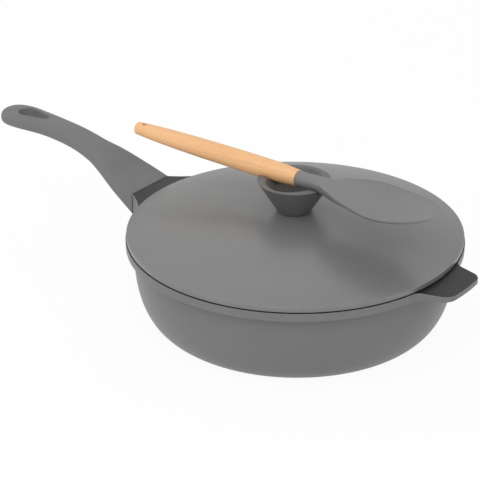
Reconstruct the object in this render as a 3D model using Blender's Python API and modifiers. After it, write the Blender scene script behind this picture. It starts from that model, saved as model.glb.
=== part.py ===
"""Deep saute pan with a domed lid, a long moulded grip, a cast helper handle and a spoon parked on the lid.

Metres, +Z up. The origin is the middle of the pan's base, on the surface that it stands on.
The grip runs along -X and the helper handle along +X. The spoon lies over the lid's knob in the plane y = 0,
with its head towards +X. The lid lifts straight up off the rim, and the spoon straight up off the knob.
"""

import math

import bmesh
import bpy
import numpy as np
from mathutils import Matrix, Vector

# Fits
SEAT_GAP = 0.0003            # between pieces that rest on each other or fit into each other
LID_PLAY = 0.0007            # around the lid's locating ring, inside the pan's wall

# Pan
PAN_HEIGHT = 0.0748
RIM_RADIUS = 0.1445
RIM_BAND = 0.0083            # height of the thick band round the rim
RIM_OVERHANG = 0.0068        # how far the band stands out from the wall below it
RIM_EDGE = 0.0006            # small chamfer on the band's edges
WALL = 0.0030
FLOOR = 0.0042
BASE_RADIUS = 0.1110         # where the base turns up into the wall
STRAIGHT_WALL = 0.0087       # part of the wall just under the band that is straight
WALL_TAPER = 0.012           # how much the straight part narrows for its height
WALL_ROUNDNESS = 2.12        # power of the superellipse from the straight wall to the base
PLATE_RADIUS = 0.0930        # induction plate let into the base
PLATE_THICKNESS = 0.0010

# Helper handle, cast on the pan
HELPER_LENGTH = 0.0245       # beyond the rim
HELPER_HALF_WIDTH = 0.0265   # to the outermost point of the corners' circles
HELPER_CORNER = 0.0110
HELPER_TAPER = math.radians(16)    # how much each side leans in towards the tip
HELPER_ROOT = 0.0070         # radius of the hollow where it flares into the rim
HELPER_TIP_THICKNESS = 0.0048

# Bracket, cast on the pan, and the tongue on its end that carries the grip
BRACKET_LENGTH = 0.0159      # beyond the rim
BRACKET_HALF_WIDTH = 0.0255
BRACKET_ROOT_HALF_WIDTH = 0.0460
BRACKET_FLARE = 0.1000       # radius of the hollow between its end and its root
BRACKET_RISE = 0.0024        # how much higher its end is than the rim
BRACKET_THICKNESS = 0.0200   # at its end
BRACKET_ROOT_DROP = 0.0035   # how much lower its underside meets the rim
TONGUE_LENGTH = 0.0250
TONGUE_WIDTH = 0.0240
TONGUE_THICKNESS = 0.0070
TONGUE_ROOT = 0.0060         # how far it is buried in the bracket
TONGUE_DROP = 0.0080         # from the top of the bracket's end down to the tongue's middle
TONGUE_SLOPE = math.radians(25)

# Grip: its body from the bracket to the round tip. The stations are shares of the body's length, and the
# heights there are measured from the top of the bracket's end.
GRIP_BODY = 0.1513
GRIP_TIP = 0.0256
GRIP_STATIONS = (0.0, 0.1606, 0.3258, 0.5241, 0.7555, 1.0)
GRIP_HALF_WIDTHS = (0.0261, 0.0234, 0.0161, 0.0123, 0.0142, 0.0180)
GRIP_TOPS = (0.0006, 0.0098, 0.0232, 0.0328, 0.0359, 0.0371)
GRIP_UNDERSIDES = (-0.0204, -0.0058, 0.0035, 0.0140, 0.0211, 0.0221)
GRIP_WAIST = 0.4250           # share of the body where the section has become oval
GRIP_SQUARENESS_AT_PAN = 14.0
GRIP_SQUARENESS_AT_WAIST = 2.7
GRIP_TIP_POWER = 2.8
GRIP_TIP_FLATNESS = 0.4       # below 1, the tip keeps its thickness longer than its width
GRIP_TIP_CUT = 0.9914         # share of the tip's length where a small flat ends it
SLOT_INSET = 0.0272           # from the tip to the middle of the slot's wide end
SLOT_LENGTH = 0.0211          # between the middles of its two round ends
SLOT_WIDE_RADIUS = 0.0090
SLOT_NARROW_RADIUS = 0.0045

# Screws and washers
SCREW_RADIUS = 0.0025
SCREW_POINT = 0.0006          # chamfer on the screw's end
SCREW_HEAD_RADIUS = 0.0042
SCREW_HEAD_HEIGHT = 0.0022
SCREW_HEAD_CHAMFER = 0.0007
SCREW_SLOT_WIDTH = 0.0014
SCREW_SLOT_DEPTH = 0.0011
WASHER_RADIUS = 0.0048
WASHER_THICKNESS = 0.0008
GRIP_SCREW_PLACE = 0.0140     # along the tongue, from the bracket's end
GRIP_SCREW_WALL = 0.0020      # grip material between the washer and the tongue
GRIP_SCREW_END = 0.0015       # how far the screw passes the tongue

# Lid
RIM_LEDGE = 0.0015            # width of the rim that the lid leaves bare
LID_EDGE = 0.0046             # height of its edge
LID_EDGE_ROUND = 0.0008
LID_RISE = 0.0165             # from the edge to the middle of the dome
DOME_POWER = 2.15             # 2 is a plain paraboloid
LID_WALL = 0.0026
LOCATING_RING_WIDTH = 0.0028
LOCATING_RING_DEPTH = 0.0052

# Knob
KNOB_HEIGHT = 0.0283
KNOB_FOOT_RADIUS = 0.0147
KNOB_TOP_RADIUS = 0.0320
KNOB_CUP_HALF_LENGTH = 0.0210     # along the spoon
KNOB_CUP_HALF_WIDTH = 0.0277
KNOB_CUP_FLOOR = 0.0110       # height of the cup's floor above the knob's foot
KNOB_CUP_FLOOR_RADIUS = 0.0090
KNOB_EDGE = 0.0004
NOTCH_RADIUS = 0.0110
NOTCH_DEPTH = 0.0064          # below the knob's top
INSERT_RADIUS = 0.0045
INSERT_LENGTH = 0.0080
KNOB_SCREW_END = 0.0070       # how far the screw reaches into the insert

# Spoon: its wood and its head run both ways from the joint between them. The stations are shares of the
# wood's shaft, back from the joint, and of the head's body, forward from the joint to its widest place. The
# last rim height and the last keel belong to the tip.
SPOON_TILT = 0.0178           # head lower than the end of the wood, in radians
SPOON_JOINT = 0.0030          # from the knob's axis forward to the joint
WOOD_SHAFT = 0.1745
WOOD_NOSE = 0.0027            # length of its blunt end
WOOD_NOSE_POWER = 2.5         # 2 is a plain ellipse
WOOD_STATIONS = (0.0, 0.0855, 0.1880, 0.4444, 0.6439, 0.8148, 0.9231, 1.0)
WOOD_RADII = (0.0072, 0.0083, 0.0087, 0.0087, 0.0083, 0.0075, 0.0066, 0.0058)
HANG_HOLE_INSET = 0.0092      # from the end of the wood
HANG_HOLE_RADIUS = 0.0032
HEAD_BODY = 0.0847
HEAD_TIP = 0.0500             # from its widest place to its tip
HEAD_STATIONS = (0.0, 0.1027, 0.1972, 0.3152, 0.4333, 0.6104, 0.7875, 1.0)
HEAD_HALF_WIDTHS = (0.0070, 0.0067, 0.0072, 0.0090, 0.0153, 0.0236, 0.0300, 0.0326)
HEAD_CROWNS = (0.0070, 0.0062, 0.0052, 0.0030, 0.0000, -0.0032, -0.0046, -0.0048)
HEAD_RIM_HEIGHTS = (0.0000, 0.0003, 0.0016, 0.0032, 0.0045, 0.0047, 0.0038, 0.0014, 0.0049)
HEAD_KEELS = (0.0070, 0.0070, 0.0086, 0.0104, 0.0120, 0.0118, 0.0098, 0.0060, 0.0018)
HEAD_TIP_CUT = 0.9939         # share of the tip's length where a small flat ends it
HEAD_EDGE = 0.0018            # thickness of the head's rim
HEAD_EDGE_BLEND = 0.2         # sine of the angle round the section where the rim has its full thickness
HEAD_OPENING = (0.1972, 0.6104)   # shares of the body between which the round neck becomes a thin rim
CORE_RADIUS = 0.0024
CORE_IN_WOOD = 0.0240
CORE_IN_HEAD = 0.0420

# Fineness of round shapes
ARC_TOLERANCE = 0.00004       # largest distance between an arc and its chords
ROUND_STEPS = 72
KNOB_STEPS = 48
SMALL_STEPS = 24
OUTER_WALL_POINTS = 10
INNER_WALL_POINTS = 8
DOME_POINTS = 10
DOME_UNDERSIDE_POINTS = 7
GRIP_BODY_SLICES = 19
GRIP_TIP_SLICES = 7
GRIP_POINTS = 28
WOOD_STEPS = 24
WOOD_SHAFT_POINTS = 13
WOOD_NOSE_POINTS = 5
HEAD_BODY_SLICES = 15
HEAD_TIP_SLICES = 9
HEAD_POINTS = 28
SHARP_EDGE = math.radians(35)

# Places that follow from the sizes above
RIM_UNDERSIDE = PAN_HEIGHT - RIM_BAND
WALL_TOP_RADIUS = RIM_RADIUS - RIM_OVERHANG
INNER_TOP_RADIUS = WALL_TOP_RADIUS - WALL
BURIED_RADIUS = (WALL_TOP_RADIUS + INNER_TOP_RADIUS) / 2    # how deep what is cast on starts in the wall
HELPER_REACH = RIM_RADIUS + HELPER_LENGTH
BRACKET_REACH = RIM_RADIUS + BRACKET_LENGTH
BRACKET_TOP = PAN_HEIGHT + BRACKET_RISE
BRACKET_BOTTOM = BRACKET_TOP - BRACKET_THICKNESS
GRIP_START = BRACKET_REACH + SEAT_GAP
GRIP_END = GRIP_START + GRIP_BODY + GRIP_TIP
LID_RADIUS = RIM_RADIUS - RIM_LEDGE
LID_SEAT = PAN_HEIGHT + SEAT_GAP
LID_TOP = LID_SEAT + LID_EDGE + LID_RISE
SCREW_HOLE_RADIUS = SCREW_RADIUS + SEAT_GAP
KNOB_FOOT = LID_TOP + SEAT_GAP
KNOB_TOP = KNOB_FOOT + KNOB_HEIGHT
NOTCH_PLACE = (KNOB_TOP_RADIUS + KNOB_CUP_HALF_LENGTH) / 2
NOTCH_BOTTOM = KNOB_TOP - NOTCH_DEPTH
WOOD_END = SPOON_JOINT - WOOD_SHAFT - WOOD_NOSE


def clear_scene():
    """Removes whatever the scene holds at the start."""
    for thing in list(bpy.data.objects):
        bpy.data.objects.remove(thing)


def new_collection(name):
    """Returns a new collection that hangs on the scene."""
    collection = bpy.data.collections.new(name)
    bpy.context.scene.collection.children.link(collection)
    return collection


def finish_material(name, colour, roughness, metallic=0.0):
    """Returns a Principled material of one colour."""
    material = bpy.data.materials.new(name)
    material.use_nodes = True
    shader = material.node_tree.nodes["Principled BSDF"]
    shader.inputs["Base Color"].default_value = (*colour, 1.0)
    shader.inputs["Roughness"].default_value = roughness
    shader.inputs["Metallic"].default_value = metallic
    return material


def new_object(name, mesh, collection):
    """Returns an object for a mesh, linked to a collection."""
    thing = bpy.data.objects.new(name, mesh)
    collection.objects.link(thing)
    return thing


def object_from_bmesh(name, shape, collection):
    """Returns an object made from a bmesh, which is used up."""
    mesh = bpy.data.meshes.new(name)
    shape.to_mesh(mesh)
    shape.free()
    return new_object(name, mesh, collection)


def turned(name, profile, steps, collection, closed=False):
    """Returns a solid of revolution about Z. The profile of (radius, height) runs down its outer side."""
    count = len(profile)
    points = [(radius, 0.0, height) for radius, height in profile]
    last = count if closed else count - 1
    mesh = bpy.data.meshes.new(name)
    mesh.from_pydata(points, [(i, (i + 1) % count) for i in range(last)], [])
    thing = new_object(name, mesh, collection)
    screw = thing.modifiers.new("turn", "SCREW")
    screw.steps = steps
    screw.render_steps = steps
    screw.use_merge_vertices = True
    screw.merge_threshold = 1e-6
    screw.use_smooth_shade = True
    return thing


def loft(name, rings, collection):
    """Returns a closed solid over rings of points, all of one count, with flat ends."""
    slices, points = rings.shape[:2]
    index = np.arange(slices * points).reshape(slices, points)
    beside = np.roll(index, -1, axis=1)
    sides = np.stack([index[:-1], beside[:-1], beside[1:], index[1:]], axis=-1).reshape(-1, 4)
    faces = sides.tolist() + [index[0][::-1].tolist(), index[-1].tolist()]
    mesh = bpy.data.meshes.new(name)
    mesh.from_pydata(rings.reshape(-1, 3).tolist(), [], faces)
    shape = bmesh.new()
    shape.from_mesh(mesh)
    bmesh.ops.recalc_face_normals(shape, faces=shape.faces)
    shape.to_mesh(mesh)
    shape.free()
    return new_object(name, mesh, collection)


def slab(name, outline, top_at, bottom_at, collection):
    """Returns a flat piece over an outline of (x, y), whose top and underside are planes over x."""
    shape = bmesh.new()
    corners = [shape.verts.new((x, y, bottom_at(x))) for x, y in outline]
    face = shape.faces.new(corners)
    raised = bmesh.ops.extrude_face_region(shape, geom=[face])["geom"]
    for corner in raised:
        if isinstance(corner, bmesh.types.BMVert):
            corner.co.z = top_at(corner.co.x)
    bmesh.ops.recalc_face_normals(shape, faces=shape.faces)
    return object_from_bmesh(name, shape, collection)


def rod(name, radius, length, steps, collection):
    """Returns a cylinder about Z that starts at height 0."""
    shape = bmesh.new()
    bmesh.ops.create_cone(
        shape, cap_ends=True, segments=steps, radius1=radius, radius2=radius, depth=length,
        matrix=Matrix.Translation((0.0, 0.0, length / 2)),
    )
    return object_from_bmesh(name, shape, collection)


def block(name, size, collection):
    """Returns a box about its own middle."""
    shape = bmesh.new()
    bmesh.ops.create_cube(shape, size=1.0, matrix=Matrix.Diagonal((*size, 1.0)))
    return object_from_bmesh(name, shape, collection)


def place(thing, frame):
    """Puts a piece made about the origin in its frame."""
    thing.matrix_world = frame
    return thing


def raised(height):
    """Frame at a height above the origin."""
    return Matrix.Translation((0.0, 0.0, height))


def hang_on(carrier, thing):
    """Parents a thing to its carrier from where it is, so that it moves along."""
    thing.parent = carrier
    thing.matrix_parent_inverse = carrier.matrix_world.inverted()
    return thing


def combine(thing, tool, operation):
    """Cuts a tool away from a piece, or joins it on, with a live boolean. The tool moves with the piece."""
    hang_on(thing, tool)
    boolean = thing.modifiers.new(tool.name, "BOOLEAN")
    boolean.operation = operation
    boolean.solver = "EXACT"
    boolean.object = tool
    tool.hide_render = True
    tool.display_type = "WIRE"


def finish(thing, material):
    """Gives a piece its material and smooth shading with sharp edges kept."""
    thing.data.materials.append(material)
    thing.data.shade_smooth()
    thing.data.set_sharp_from_angle(angle=SHARP_EDGE)
    return thing


def smooth_curve(stations, values, places):
    """Values at places between stations, on cubic pieces whose slopes match at each station."""
    stations = np.asarray(stations)
    values = np.asarray(values)
    slopes = np.gradient(values, stations)
    span = np.clip(np.searchsorted(stations, places) - 1, 0, len(stations) - 2)
    width = stations[span + 1] - stations[span]
    t = (places - stations[span]) / width
    return (
        (1 + 2 * t) * (1 - t) ** 2 * values[span]
        + t * (1 - t) ** 2 * width * slopes[span]
        + t ** 2 * (3 - 2 * t) * values[span + 1]
        + t ** 2 * (t - 1) * width * slopes[span + 1]
    )


def stepped_lengths(body, tip, body_slices, tip_slices, tip_cut):
    """Even steps along a body, then steps that crowd towards the end of its round tip."""
    steps = np.linspace(0.0, body, body_slices, endpoint=False)
    crowded = np.sin(np.linspace(0.0, math.asin(tip_cut), tip_slices))
    return np.concatenate([steps, body + tip * crowded])


def arc(centre, radius, start, end):
    """Points on an arc whose chords stay within the tolerance. The angles are in degrees."""
    step = 2 * math.degrees(math.acos(1 - ARC_TOLERANCE / radius))
    pieces = max(1, math.ceil(abs(end - start) / step))
    angles = np.radians(np.linspace(start, end, pieces + 1))
    return [(centre[0] + radius * math.cos(a), centre[1] + radius * math.sin(a)) for a in angles]


def hollow_arc(start, end, radius):
    """Points from start to end on an arc whose centre lies to the left of the way between them."""
    begin = Vector(start)
    target = Vector(end)
    way = target - begin
    left = Vector((-way.y, way.x)).normalized()
    centre = (begin + target) / 2 + left * math.sqrt(radius ** 2 - (way.length / 2) ** 2)
    first = math.degrees(math.atan2(begin.y - centre.y, begin.x - centre.x))
    last = math.degrees(math.atan2(target.y - centre.y, target.x - centre.x))
    turn = (last - first + 180) % 360 - 180
    return arc(centre, radius, first, first + turn)


def wall_curve(top_radius, base_radius, base_height, points):
    """Pan wall from the band's underside down to the base: a straight taper, then a superellipse."""
    corner_radius = top_radius - WALL_TAPER * STRAIGHT_WALL
    corner_height = RIM_UNDERSIDE - STRAIGHT_WALL
    curve = [(top_radius, RIM_UNDERSIDE)]
    for t in np.linspace(0.0, math.pi / 2, points):
        radius = base_radius + (corner_radius - base_radius) * math.cos(t) ** (2 / WALL_ROUNDNESS)
        height = corner_height - (corner_height - base_height) * math.sin(t) ** (2 / WALL_ROUNDNESS)
        curve.append((radius, height))
    return curve


def make_pan(material, parts, tools):
    """The cast pan: bowl, rim band, helper handle, bracket and the tongue that carries the grip."""
    outside = wall_curve(WALL_TOP_RADIUS, BASE_RADIUS, 0.0, OUTER_WALL_POINTS)
    inside = wall_curve(INNER_TOP_RADIUS, BASE_RADIUS - WALL, FLOOR, INNER_WALL_POINTS)
    recess_radius = PLATE_RADIUS + SEAT_GAP
    recess_height = PLATE_THICKNESS + SEAT_GAP
    profile = [(0.0, FLOOR)] + inside[::-1] + [
        (INNER_TOP_RADIUS, PAN_HEIGHT),
        (RIM_RADIUS - RIM_EDGE, PAN_HEIGHT),
        (RIM_RADIUS, PAN_HEIGHT - RIM_EDGE),
        (RIM_RADIUS, RIM_UNDERSIDE + RIM_EDGE),
        (RIM_RADIUS - RIM_EDGE, RIM_UNDERSIDE),
    ] + outside + [
        (recess_radius, 0.0),
        (recess_radius, recess_height),
        (0.0, recess_height),
    ]
    pan = turned("pan_body", profile, ROUND_STEPS, parts)
    combine(pan, make_helper(tools), "UNION")
    combine(pan, make_bracket(tools), "UNION")
    combine(pan, make_tongue("tongue", 0.0, tools), "UNION")
    combine(pan, screw_hole("tongue_hole", tools), "DIFFERENCE")
    return finish(pan, material)


def make_helper(tools):
    """Helper handle: a flat tab with round corners that flares into the rim and thins towards its tip.

    Its tip runs along the rim, and its sides lean in. Each hollow touches the rim's circle and a side.
    """
    corner_y = HELPER_HALF_WIDTH - HELPER_CORNER
    corner = Vector((math.sqrt((HELPER_REACH - HELPER_CORNER) ** 2 - corner_y ** 2), corner_y))
    outward = Vector((math.sin(HELPER_TAPER), math.cos(HELPER_TAPER)))
    to_rim = Vector((-outward.y, outward.x))
    start = corner + (HELPER_CORNER + HELPER_ROOT) * outward
    back = start.dot(to_rim)
    reach = math.sqrt(back ** 2 - start.length_squared + (RIM_RADIUS + HELPER_ROOT) ** 2)
    hollow = start - (back + reach) * to_rim
    taper = math.degrees(HELPER_TAPER)
    meets_rim = math.degrees(math.atan2(hollow.y, hollow.x))
    meets_tip = math.degrees(math.atan2(corner.y, corner.x))
    half = (
        arc((0.0, 0.0), BURIED_RADIUS, 0.0, meets_rim)
        + arc(hollow, HELPER_ROOT, 180 + meets_rim, 270 - taper)
        + arc(corner, HELPER_CORNER, 90 - taper, meets_tip)
        + arc((0.0, 0.0), HELPER_REACH, meets_tip, 0.0)[1:]
    )
    outline = half[1:] + [(x, -y) for x, y in half[-2::-1]]
    slope = (RIM_BAND - HELPER_TIP_THICKNESS) / HELPER_LENGTH
    return slab(
        "helper_handle", outline,
        lambda x: PAN_HEIGHT,
        lambda x: RIM_UNDERSIDE + slope * (x - RIM_RADIUS),
        tools,
    )


def make_bracket(tools):
    """Bracket: flares from the grip's end into the rim, its top rising and its underside dropping."""
    root_x = math.sqrt(RIM_RADIUS ** 2 - BRACKET_ROOT_HALF_WIDTH ** 2)
    root_angle = math.degrees(math.atan2(BRACKET_ROOT_HALF_WIDTH, root_x))
    half = arc((0.0, 0.0), BURIED_RADIUS, 0.0, root_angle) + hollow_arc(
        (root_x, BRACKET_ROOT_HALF_WIDTH), (BRACKET_REACH, BRACKET_HALF_WIDTH), BRACKET_FLARE
    )
    outline = [(-x, y) for x, y in half[1:]] + [(-x, -y) for x, y in half[::-1]]
    rise = BRACKET_RISE / BRACKET_LENGTH
    drop = BRACKET_ROOT_DROP / BRACKET_LENGTH
    return slab(
        "bracket", outline,
        lambda x: PAN_HEIGHT - rise * (x + RIM_RADIUS),
        lambda x: BRACKET_BOTTOM - drop * (x + BRACKET_REACH),
        tools,
    )


def tongue_frame():
    """Frame at the bracket's end: X runs out along the tongue, Z stands up from it."""
    outward = Matrix.Rotation(math.pi, 4, "Z")
    lean = Matrix.Rotation(-TONGUE_SLOPE, 4, "Y")
    return Matrix.Translation((-BRACKET_REACH, 0.0, BRACKET_TOP - TONGUE_DROP)) @ outward @ lean


def make_tongue(name, margin, tools):
    """Tongue that the grip slides on to, or with a margin the socket for it."""
    length = TONGUE_LENGTH + TONGUE_ROOT + margin
    size = (length, TONGUE_WIDTH + 2 * margin, TONGUE_THICKNESS + 2 * margin)
    middle = Matrix.Translation((length / 2 - TONGUE_ROOT, 0.0, 0.0))
    return place(block(name, size, tools), tongue_frame() @ middle)


def screw_frame():
    """Frame of the grip's screw: its origin on the tongue's underside, Z up through the tongue."""
    return tongue_frame() @ Matrix.Translation((GRIP_SCREW_PLACE, 0.0, -TONGUE_THICKNESS / 2))


def screw_hole(name, tools):
    """Hole for the grip's screw, from just below the washer's seat to a little way above the tongue."""
    below = GRIP_SCREW_WALL + SEAT_GAP
    depth = below + TONGUE_THICKNESS + GRIP_SCREW_END + SEAT_GAP
    hole = rod(name, SCREW_HOLE_RADIUS, depth, SMALL_STEPS, tools)
    return place(hole, screw_frame() @ raised(-below))


def make_induction_plate(material, parts):
    """Steel disc let into the base, flush with it."""
    edge = PLATE_THICKNESS / 4
    profile = [
        (0.0, PLATE_THICKNESS),
        (PLATE_RADIUS - edge, PLATE_THICKNESS),
        (PLATE_RADIUS, PLATE_THICKNESS - edge),
        (PLATE_RADIUS, 0.0),
        (0.0, 0.0),
    ]
    return finish(turned("induction_plate", profile, ROUND_STEPS, parts), material)


def grip_rings():
    """Sections of the grip: squarish at the pan, oval from the waist on, closing round at the tip."""
    along = stepped_lengths(GRIP_BODY, GRIP_TIP, GRIP_BODY_SLICES, GRIP_TIP_SLICES, GRIP_TIP_CUT)
    past = np.clip((along - GRIP_BODY) / GRIP_TIP, 0.0, 1.0)
    rounding = (1.0 - past ** GRIP_TIP_POWER) ** (1.0 / GRIP_TIP_POWER)
    share = np.minimum(along / GRIP_BODY, 1.0)
    half_width = smooth_curve(GRIP_STATIONS, GRIP_HALF_WIDTHS, share) * rounding
    top = smooth_curve(GRIP_STATIONS, GRIP_TOPS, share)
    underside = smooth_curve(GRIP_STATIONS, GRIP_UNDERSIDES, share)
    half_height = (top - underside) / 2 * rounding ** GRIP_TIP_FLATNESS
    ease = np.clip(share / GRIP_WAIST, 0.0, 1.0)
    ease = ease ** 2 * (3 - 2 * ease)
    power = GRIP_SQUARENESS_AT_PAN + (GRIP_SQUARENESS_AT_WAIST - GRIP_SQUARENESS_AT_PAN) * ease
    angle = np.linspace(0.0, 2 * math.pi, GRIP_POINTS, endpoint=False)[None, :]
    exponent = 2.0 / power[:, None]
    y = np.sign(np.cos(angle)) * np.abs(np.cos(angle)) ** exponent * half_width[:, None]
    z = np.sign(np.sin(angle)) * np.abs(np.sin(angle)) ** exponent * half_height[:, None]
    z = z + (BRACKET_TOP + (top + underside) / 2)[:, None]
    x = np.repeat(-(GRIP_START + along)[:, None], GRIP_POINTS, axis=1)
    return np.stack([x, y, z], axis=-1)


def make_slot_cutter(tools):
    """Hanging slot: two round ends of unlike radius joined by their tangents, cut straight down."""
    wide_x = GRIP_END - SLOT_INSET
    narrow_x = wide_x - SLOT_LENGTH
    lean = math.degrees(math.acos((SLOT_WIDE_RADIUS - SLOT_NARROW_RADIUS) / SLOT_LENGTH))
    outline = arc((-wide_x, 0.0), SLOT_WIDE_RADIUS, lean, 360 - lean)
    outline += arc((-narrow_x, 0.0), SLOT_NARROW_RADIUS, -lean, lean)
    above_grip = BRACKET_TOP + 2 * max(GRIP_TOPS)
    return slab("slot_cutter", outline, lambda x: above_grip, lambda x: BRACKET_TOP, tools)


def make_grip(material, parts, tools):
    """Moulded grip with the socket for the tongue, the screw's hole and the hanging slot."""
    grip = loft("handle_grip", grip_rings(), parts)
    combine(grip, make_tongue("tongue_socket", SEAT_GAP, tools), "DIFFERENCE")
    combine(grip, screw_hole("grip_screw_hole", tools), "DIFFERENCE")
    recess = rod("grip_screw_recess", WASHER_RADIUS + SEAT_GAP, BRACKET_THICKNESS, SMALL_STEPS, tools)
    place(recess, screw_frame() @ raised(-GRIP_SCREW_WALL - BRACKET_THICKNESS))
    combine(grip, recess, "DIFFERENCE")
    combine(grip, make_slot_cutter(tools), "DIFFERENCE")
    return finish(grip, material)


def make_screw(name, length, frame, material, parts, tools):
    """Screw that stands on its slotted head: the head's face at height 0 of its frame, its end at the top."""
    end = SCREW_HEAD_HEIGHT + length
    profile = [
        (0.0, end),
        (SCREW_RADIUS - SCREW_POINT, end),
        (SCREW_RADIUS, end - SCREW_POINT),
        (SCREW_RADIUS, SCREW_HEAD_HEIGHT),
        (SCREW_HEAD_RADIUS, SCREW_HEAD_HEIGHT),
        (SCREW_HEAD_RADIUS, SCREW_HEAD_CHAMFER),
        (SCREW_HEAD_RADIUS - SCREW_HEAD_CHAMFER, 0.0),
        (0.0, 0.0),
    ]
    screw = place(turned(name, profile, SMALL_STEPS, parts), frame)
    size = (3 * SCREW_HEAD_RADIUS, SCREW_SLOT_WIDTH, 2 * SCREW_SLOT_DEPTH)
    combine(screw, place(block(name + "_slot", size, tools), frame), "DIFFERENCE")
    return finish(screw, material)


def make_washer(name, frame, material, parts):
    """Flat washer round a screw, lying on height 0 of its frame."""
    profile = [
        (SCREW_HOLE_RADIUS, WASHER_THICKNESS),
        (WASHER_RADIUS, WASHER_THICKNESS),
        (WASHER_RADIUS, 0.0),
        (SCREW_HOLE_RADIUS, 0.0),
    ]
    washer = turned(name, profile, SMALL_STEPS, parts, closed=True)
    return finish(place(washer, frame), material)


def make_grip_fixing(steel, parts, tools):
    """Screw and washer that hold the grip on the tongue, sunk into the grip's underside."""
    washer_place = -GRIP_SCREW_WALL - SEAT_GAP - WASHER_THICKNESS
    make_washer("handle_washer", screw_frame() @ raised(washer_place), steel, parts)
    head_top = washer_place - SEAT_GAP
    length = TONGUE_THICKNESS + GRIP_SCREW_END - head_top
    frame = screw_frame() @ raised(head_top - SCREW_HEAD_HEIGHT)
    make_screw("handle_screw", length, frame, steel, parts, tools)


def dome_height(radius):
    """Height of the lid's outer face at a radius, steepening towards the edge."""
    return LID_TOP - LID_RISE * (radius / LID_RADIUS) ** DOME_POWER


def make_lid(material, parts):
    """Domed lid with a flat flange on the rim, a rounded edge and a locating ring under it."""
    ring_outer = INNER_TOP_RADIUS - LID_PLAY
    ring_inner = ring_outer - LOCATING_RING_WIDTH
    lean = math.atan(DOME_POWER * LID_RISE / LID_RADIUS)
    shoulder = LID_RADIUS - LID_EDGE_ROUND * (1 - math.sin(lean))
    centre = (LID_RADIUS - LID_EDGE_ROUND, dome_height(shoulder) - LID_EDGE_ROUND * math.cos(lean))
    dome = [(r, dome_height(r)) for r in np.linspace(SCREW_HOLE_RADIUS, shoulder, DOME_POINTS)]
    edge = arc(centre, LID_EDGE_ROUND, 90 - math.degrees(lean), 0)
    flange = [
        (LID_RADIUS, LID_SEAT),
        (ring_outer, LID_SEAT),
        (ring_outer, LID_SEAT - LOCATING_RING_DEPTH),
        (ring_inner, LID_SEAT - LOCATING_RING_DEPTH),
    ]
    inner_radii = np.linspace(ring_inner, SCREW_HOLE_RADIUS, DOME_UNDERSIDE_POINTS)
    underside = [(r, dome_height(r) - LID_WALL) for r in inner_radii]
    profile = dome[:-1] + edge + flange + underside
    return finish(turned("lid_shell", profile, ROUND_STEPS, parts, closed=True), material)


def cup_rings():
    """Sections of the knob's cup: round at its floor, oval at its top, and widening at the edge there."""
    sections = [(KNOB_CUP_FLOOR_RADIUS, KNOB_CUP_FLOOR_RADIUS, KNOB_FOOT + KNOB_CUP_FLOOR)]
    for step in (-KNOB_EDGE, KNOB_EDGE):
        sections.append((KNOB_CUP_HALF_LENGTH + step, KNOB_CUP_HALF_WIDTH + step, KNOB_TOP + step))
    length, width, height = np.array(sections).T[:, :, None]
    angle = np.linspace(0.0, 2 * math.pi, KNOB_STEPS, endpoint=False)[None, :]
    return np.stack([length * np.cos(angle), width * np.sin(angle), height + 0 * angle], axis=-1)


def make_knob(material, parts, tools):
    """Funnel knob: a cone with a flat top, an oval cup in it and a notch at each end for the spoon."""
    bore = INSERT_RADIUS + SEAT_GAP
    bore_top = KNOB_FOOT + INSERT_LENGTH + SEAT_GAP
    profile = [
        (0.0, KNOB_TOP),
        (KNOB_TOP_RADIUS - KNOB_EDGE, KNOB_TOP),
        (KNOB_TOP_RADIUS, KNOB_TOP - KNOB_EDGE),
        (KNOB_FOOT_RADIUS, KNOB_FOOT),
        (bore, KNOB_FOOT),
        (bore, bore_top),
        (0.0, bore_top),
    ]
    knob = turned("lid_knob", profile, KNOB_STEPS, parts)
    combine(knob, loft("knob_cup", cup_rings(), tools), "DIFFERENCE")
    notch = rod("spoon_notch", NOTCH_RADIUS, 4 * KNOB_TOP_RADIUS, KNOB_STEPS, tools)
    start = Matrix.Translation((-2 * KNOB_TOP_RADIUS, 0.0, NOTCH_BOTTOM + NOTCH_RADIUS))
    place(notch, start @ lying_forward())
    combine(knob, notch, "DIFFERENCE")
    return finish(knob, material)


def make_knob_fixing(brass, steel, parts, tools):
    """Threaded insert moulded into the knob, and the screw and washer that clamp the lid to it."""
    profile = [
        (SCREW_HOLE_RADIUS, KNOB_FOOT + INSERT_LENGTH),
        (INSERT_RADIUS, KNOB_FOOT + INSERT_LENGTH),
        (INSERT_RADIUS, KNOB_FOOT),
        (SCREW_HOLE_RADIUS, KNOB_FOOT),
    ]
    insert = finish(turned("knob_insert", profile, SMALL_STEPS, parts, closed=True), brass)
    lid_underside = dome_height(WASHER_RADIUS) - LID_WALL
    washer_base = lid_underside - SEAT_GAP - WASHER_THICKNESS
    washer = make_washer("knob_washer", raised(washer_base), steel, parts)
    head_top = washer_base - SEAT_GAP
    length = KNOB_FOOT + KNOB_SCREW_END - head_top
    screw = make_screw("knob_screw", length, raised(head_top - SCREW_HEAD_HEIGHT), steel, parts, tools)
    return insert, washer, screw


def lying_forward():
    """Turns a piece made upright about Z so that it lies along X."""
    return Matrix.Rotation(math.pi / 2, 4, "Y")


def spoon_frame():
    """Frame of the spoon: X runs along its axis to the head, its wood resting in the knob's notch at -X."""
    share_at_notch = (SPOON_JOINT + NOTCH_PLACE) / WOOD_SHAFT
    resting_radius = smooth_curve(WOOD_STATIONS, WOOD_RADII, share_at_notch)
    axis_height = NOTCH_BOTTOM + SEAT_GAP + resting_radius - SPOON_TILT * NOTCH_PLACE
    return raised(axis_height) @ Matrix.Rotation(SPOON_TILT, 4, "Y")


def place_on_spoon(thing, start):
    """Lays an upright piece along the spoon's axis, from a place on it."""
    return place(thing, spoon_frame() @ lying_forward() @ raised(start))


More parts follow.
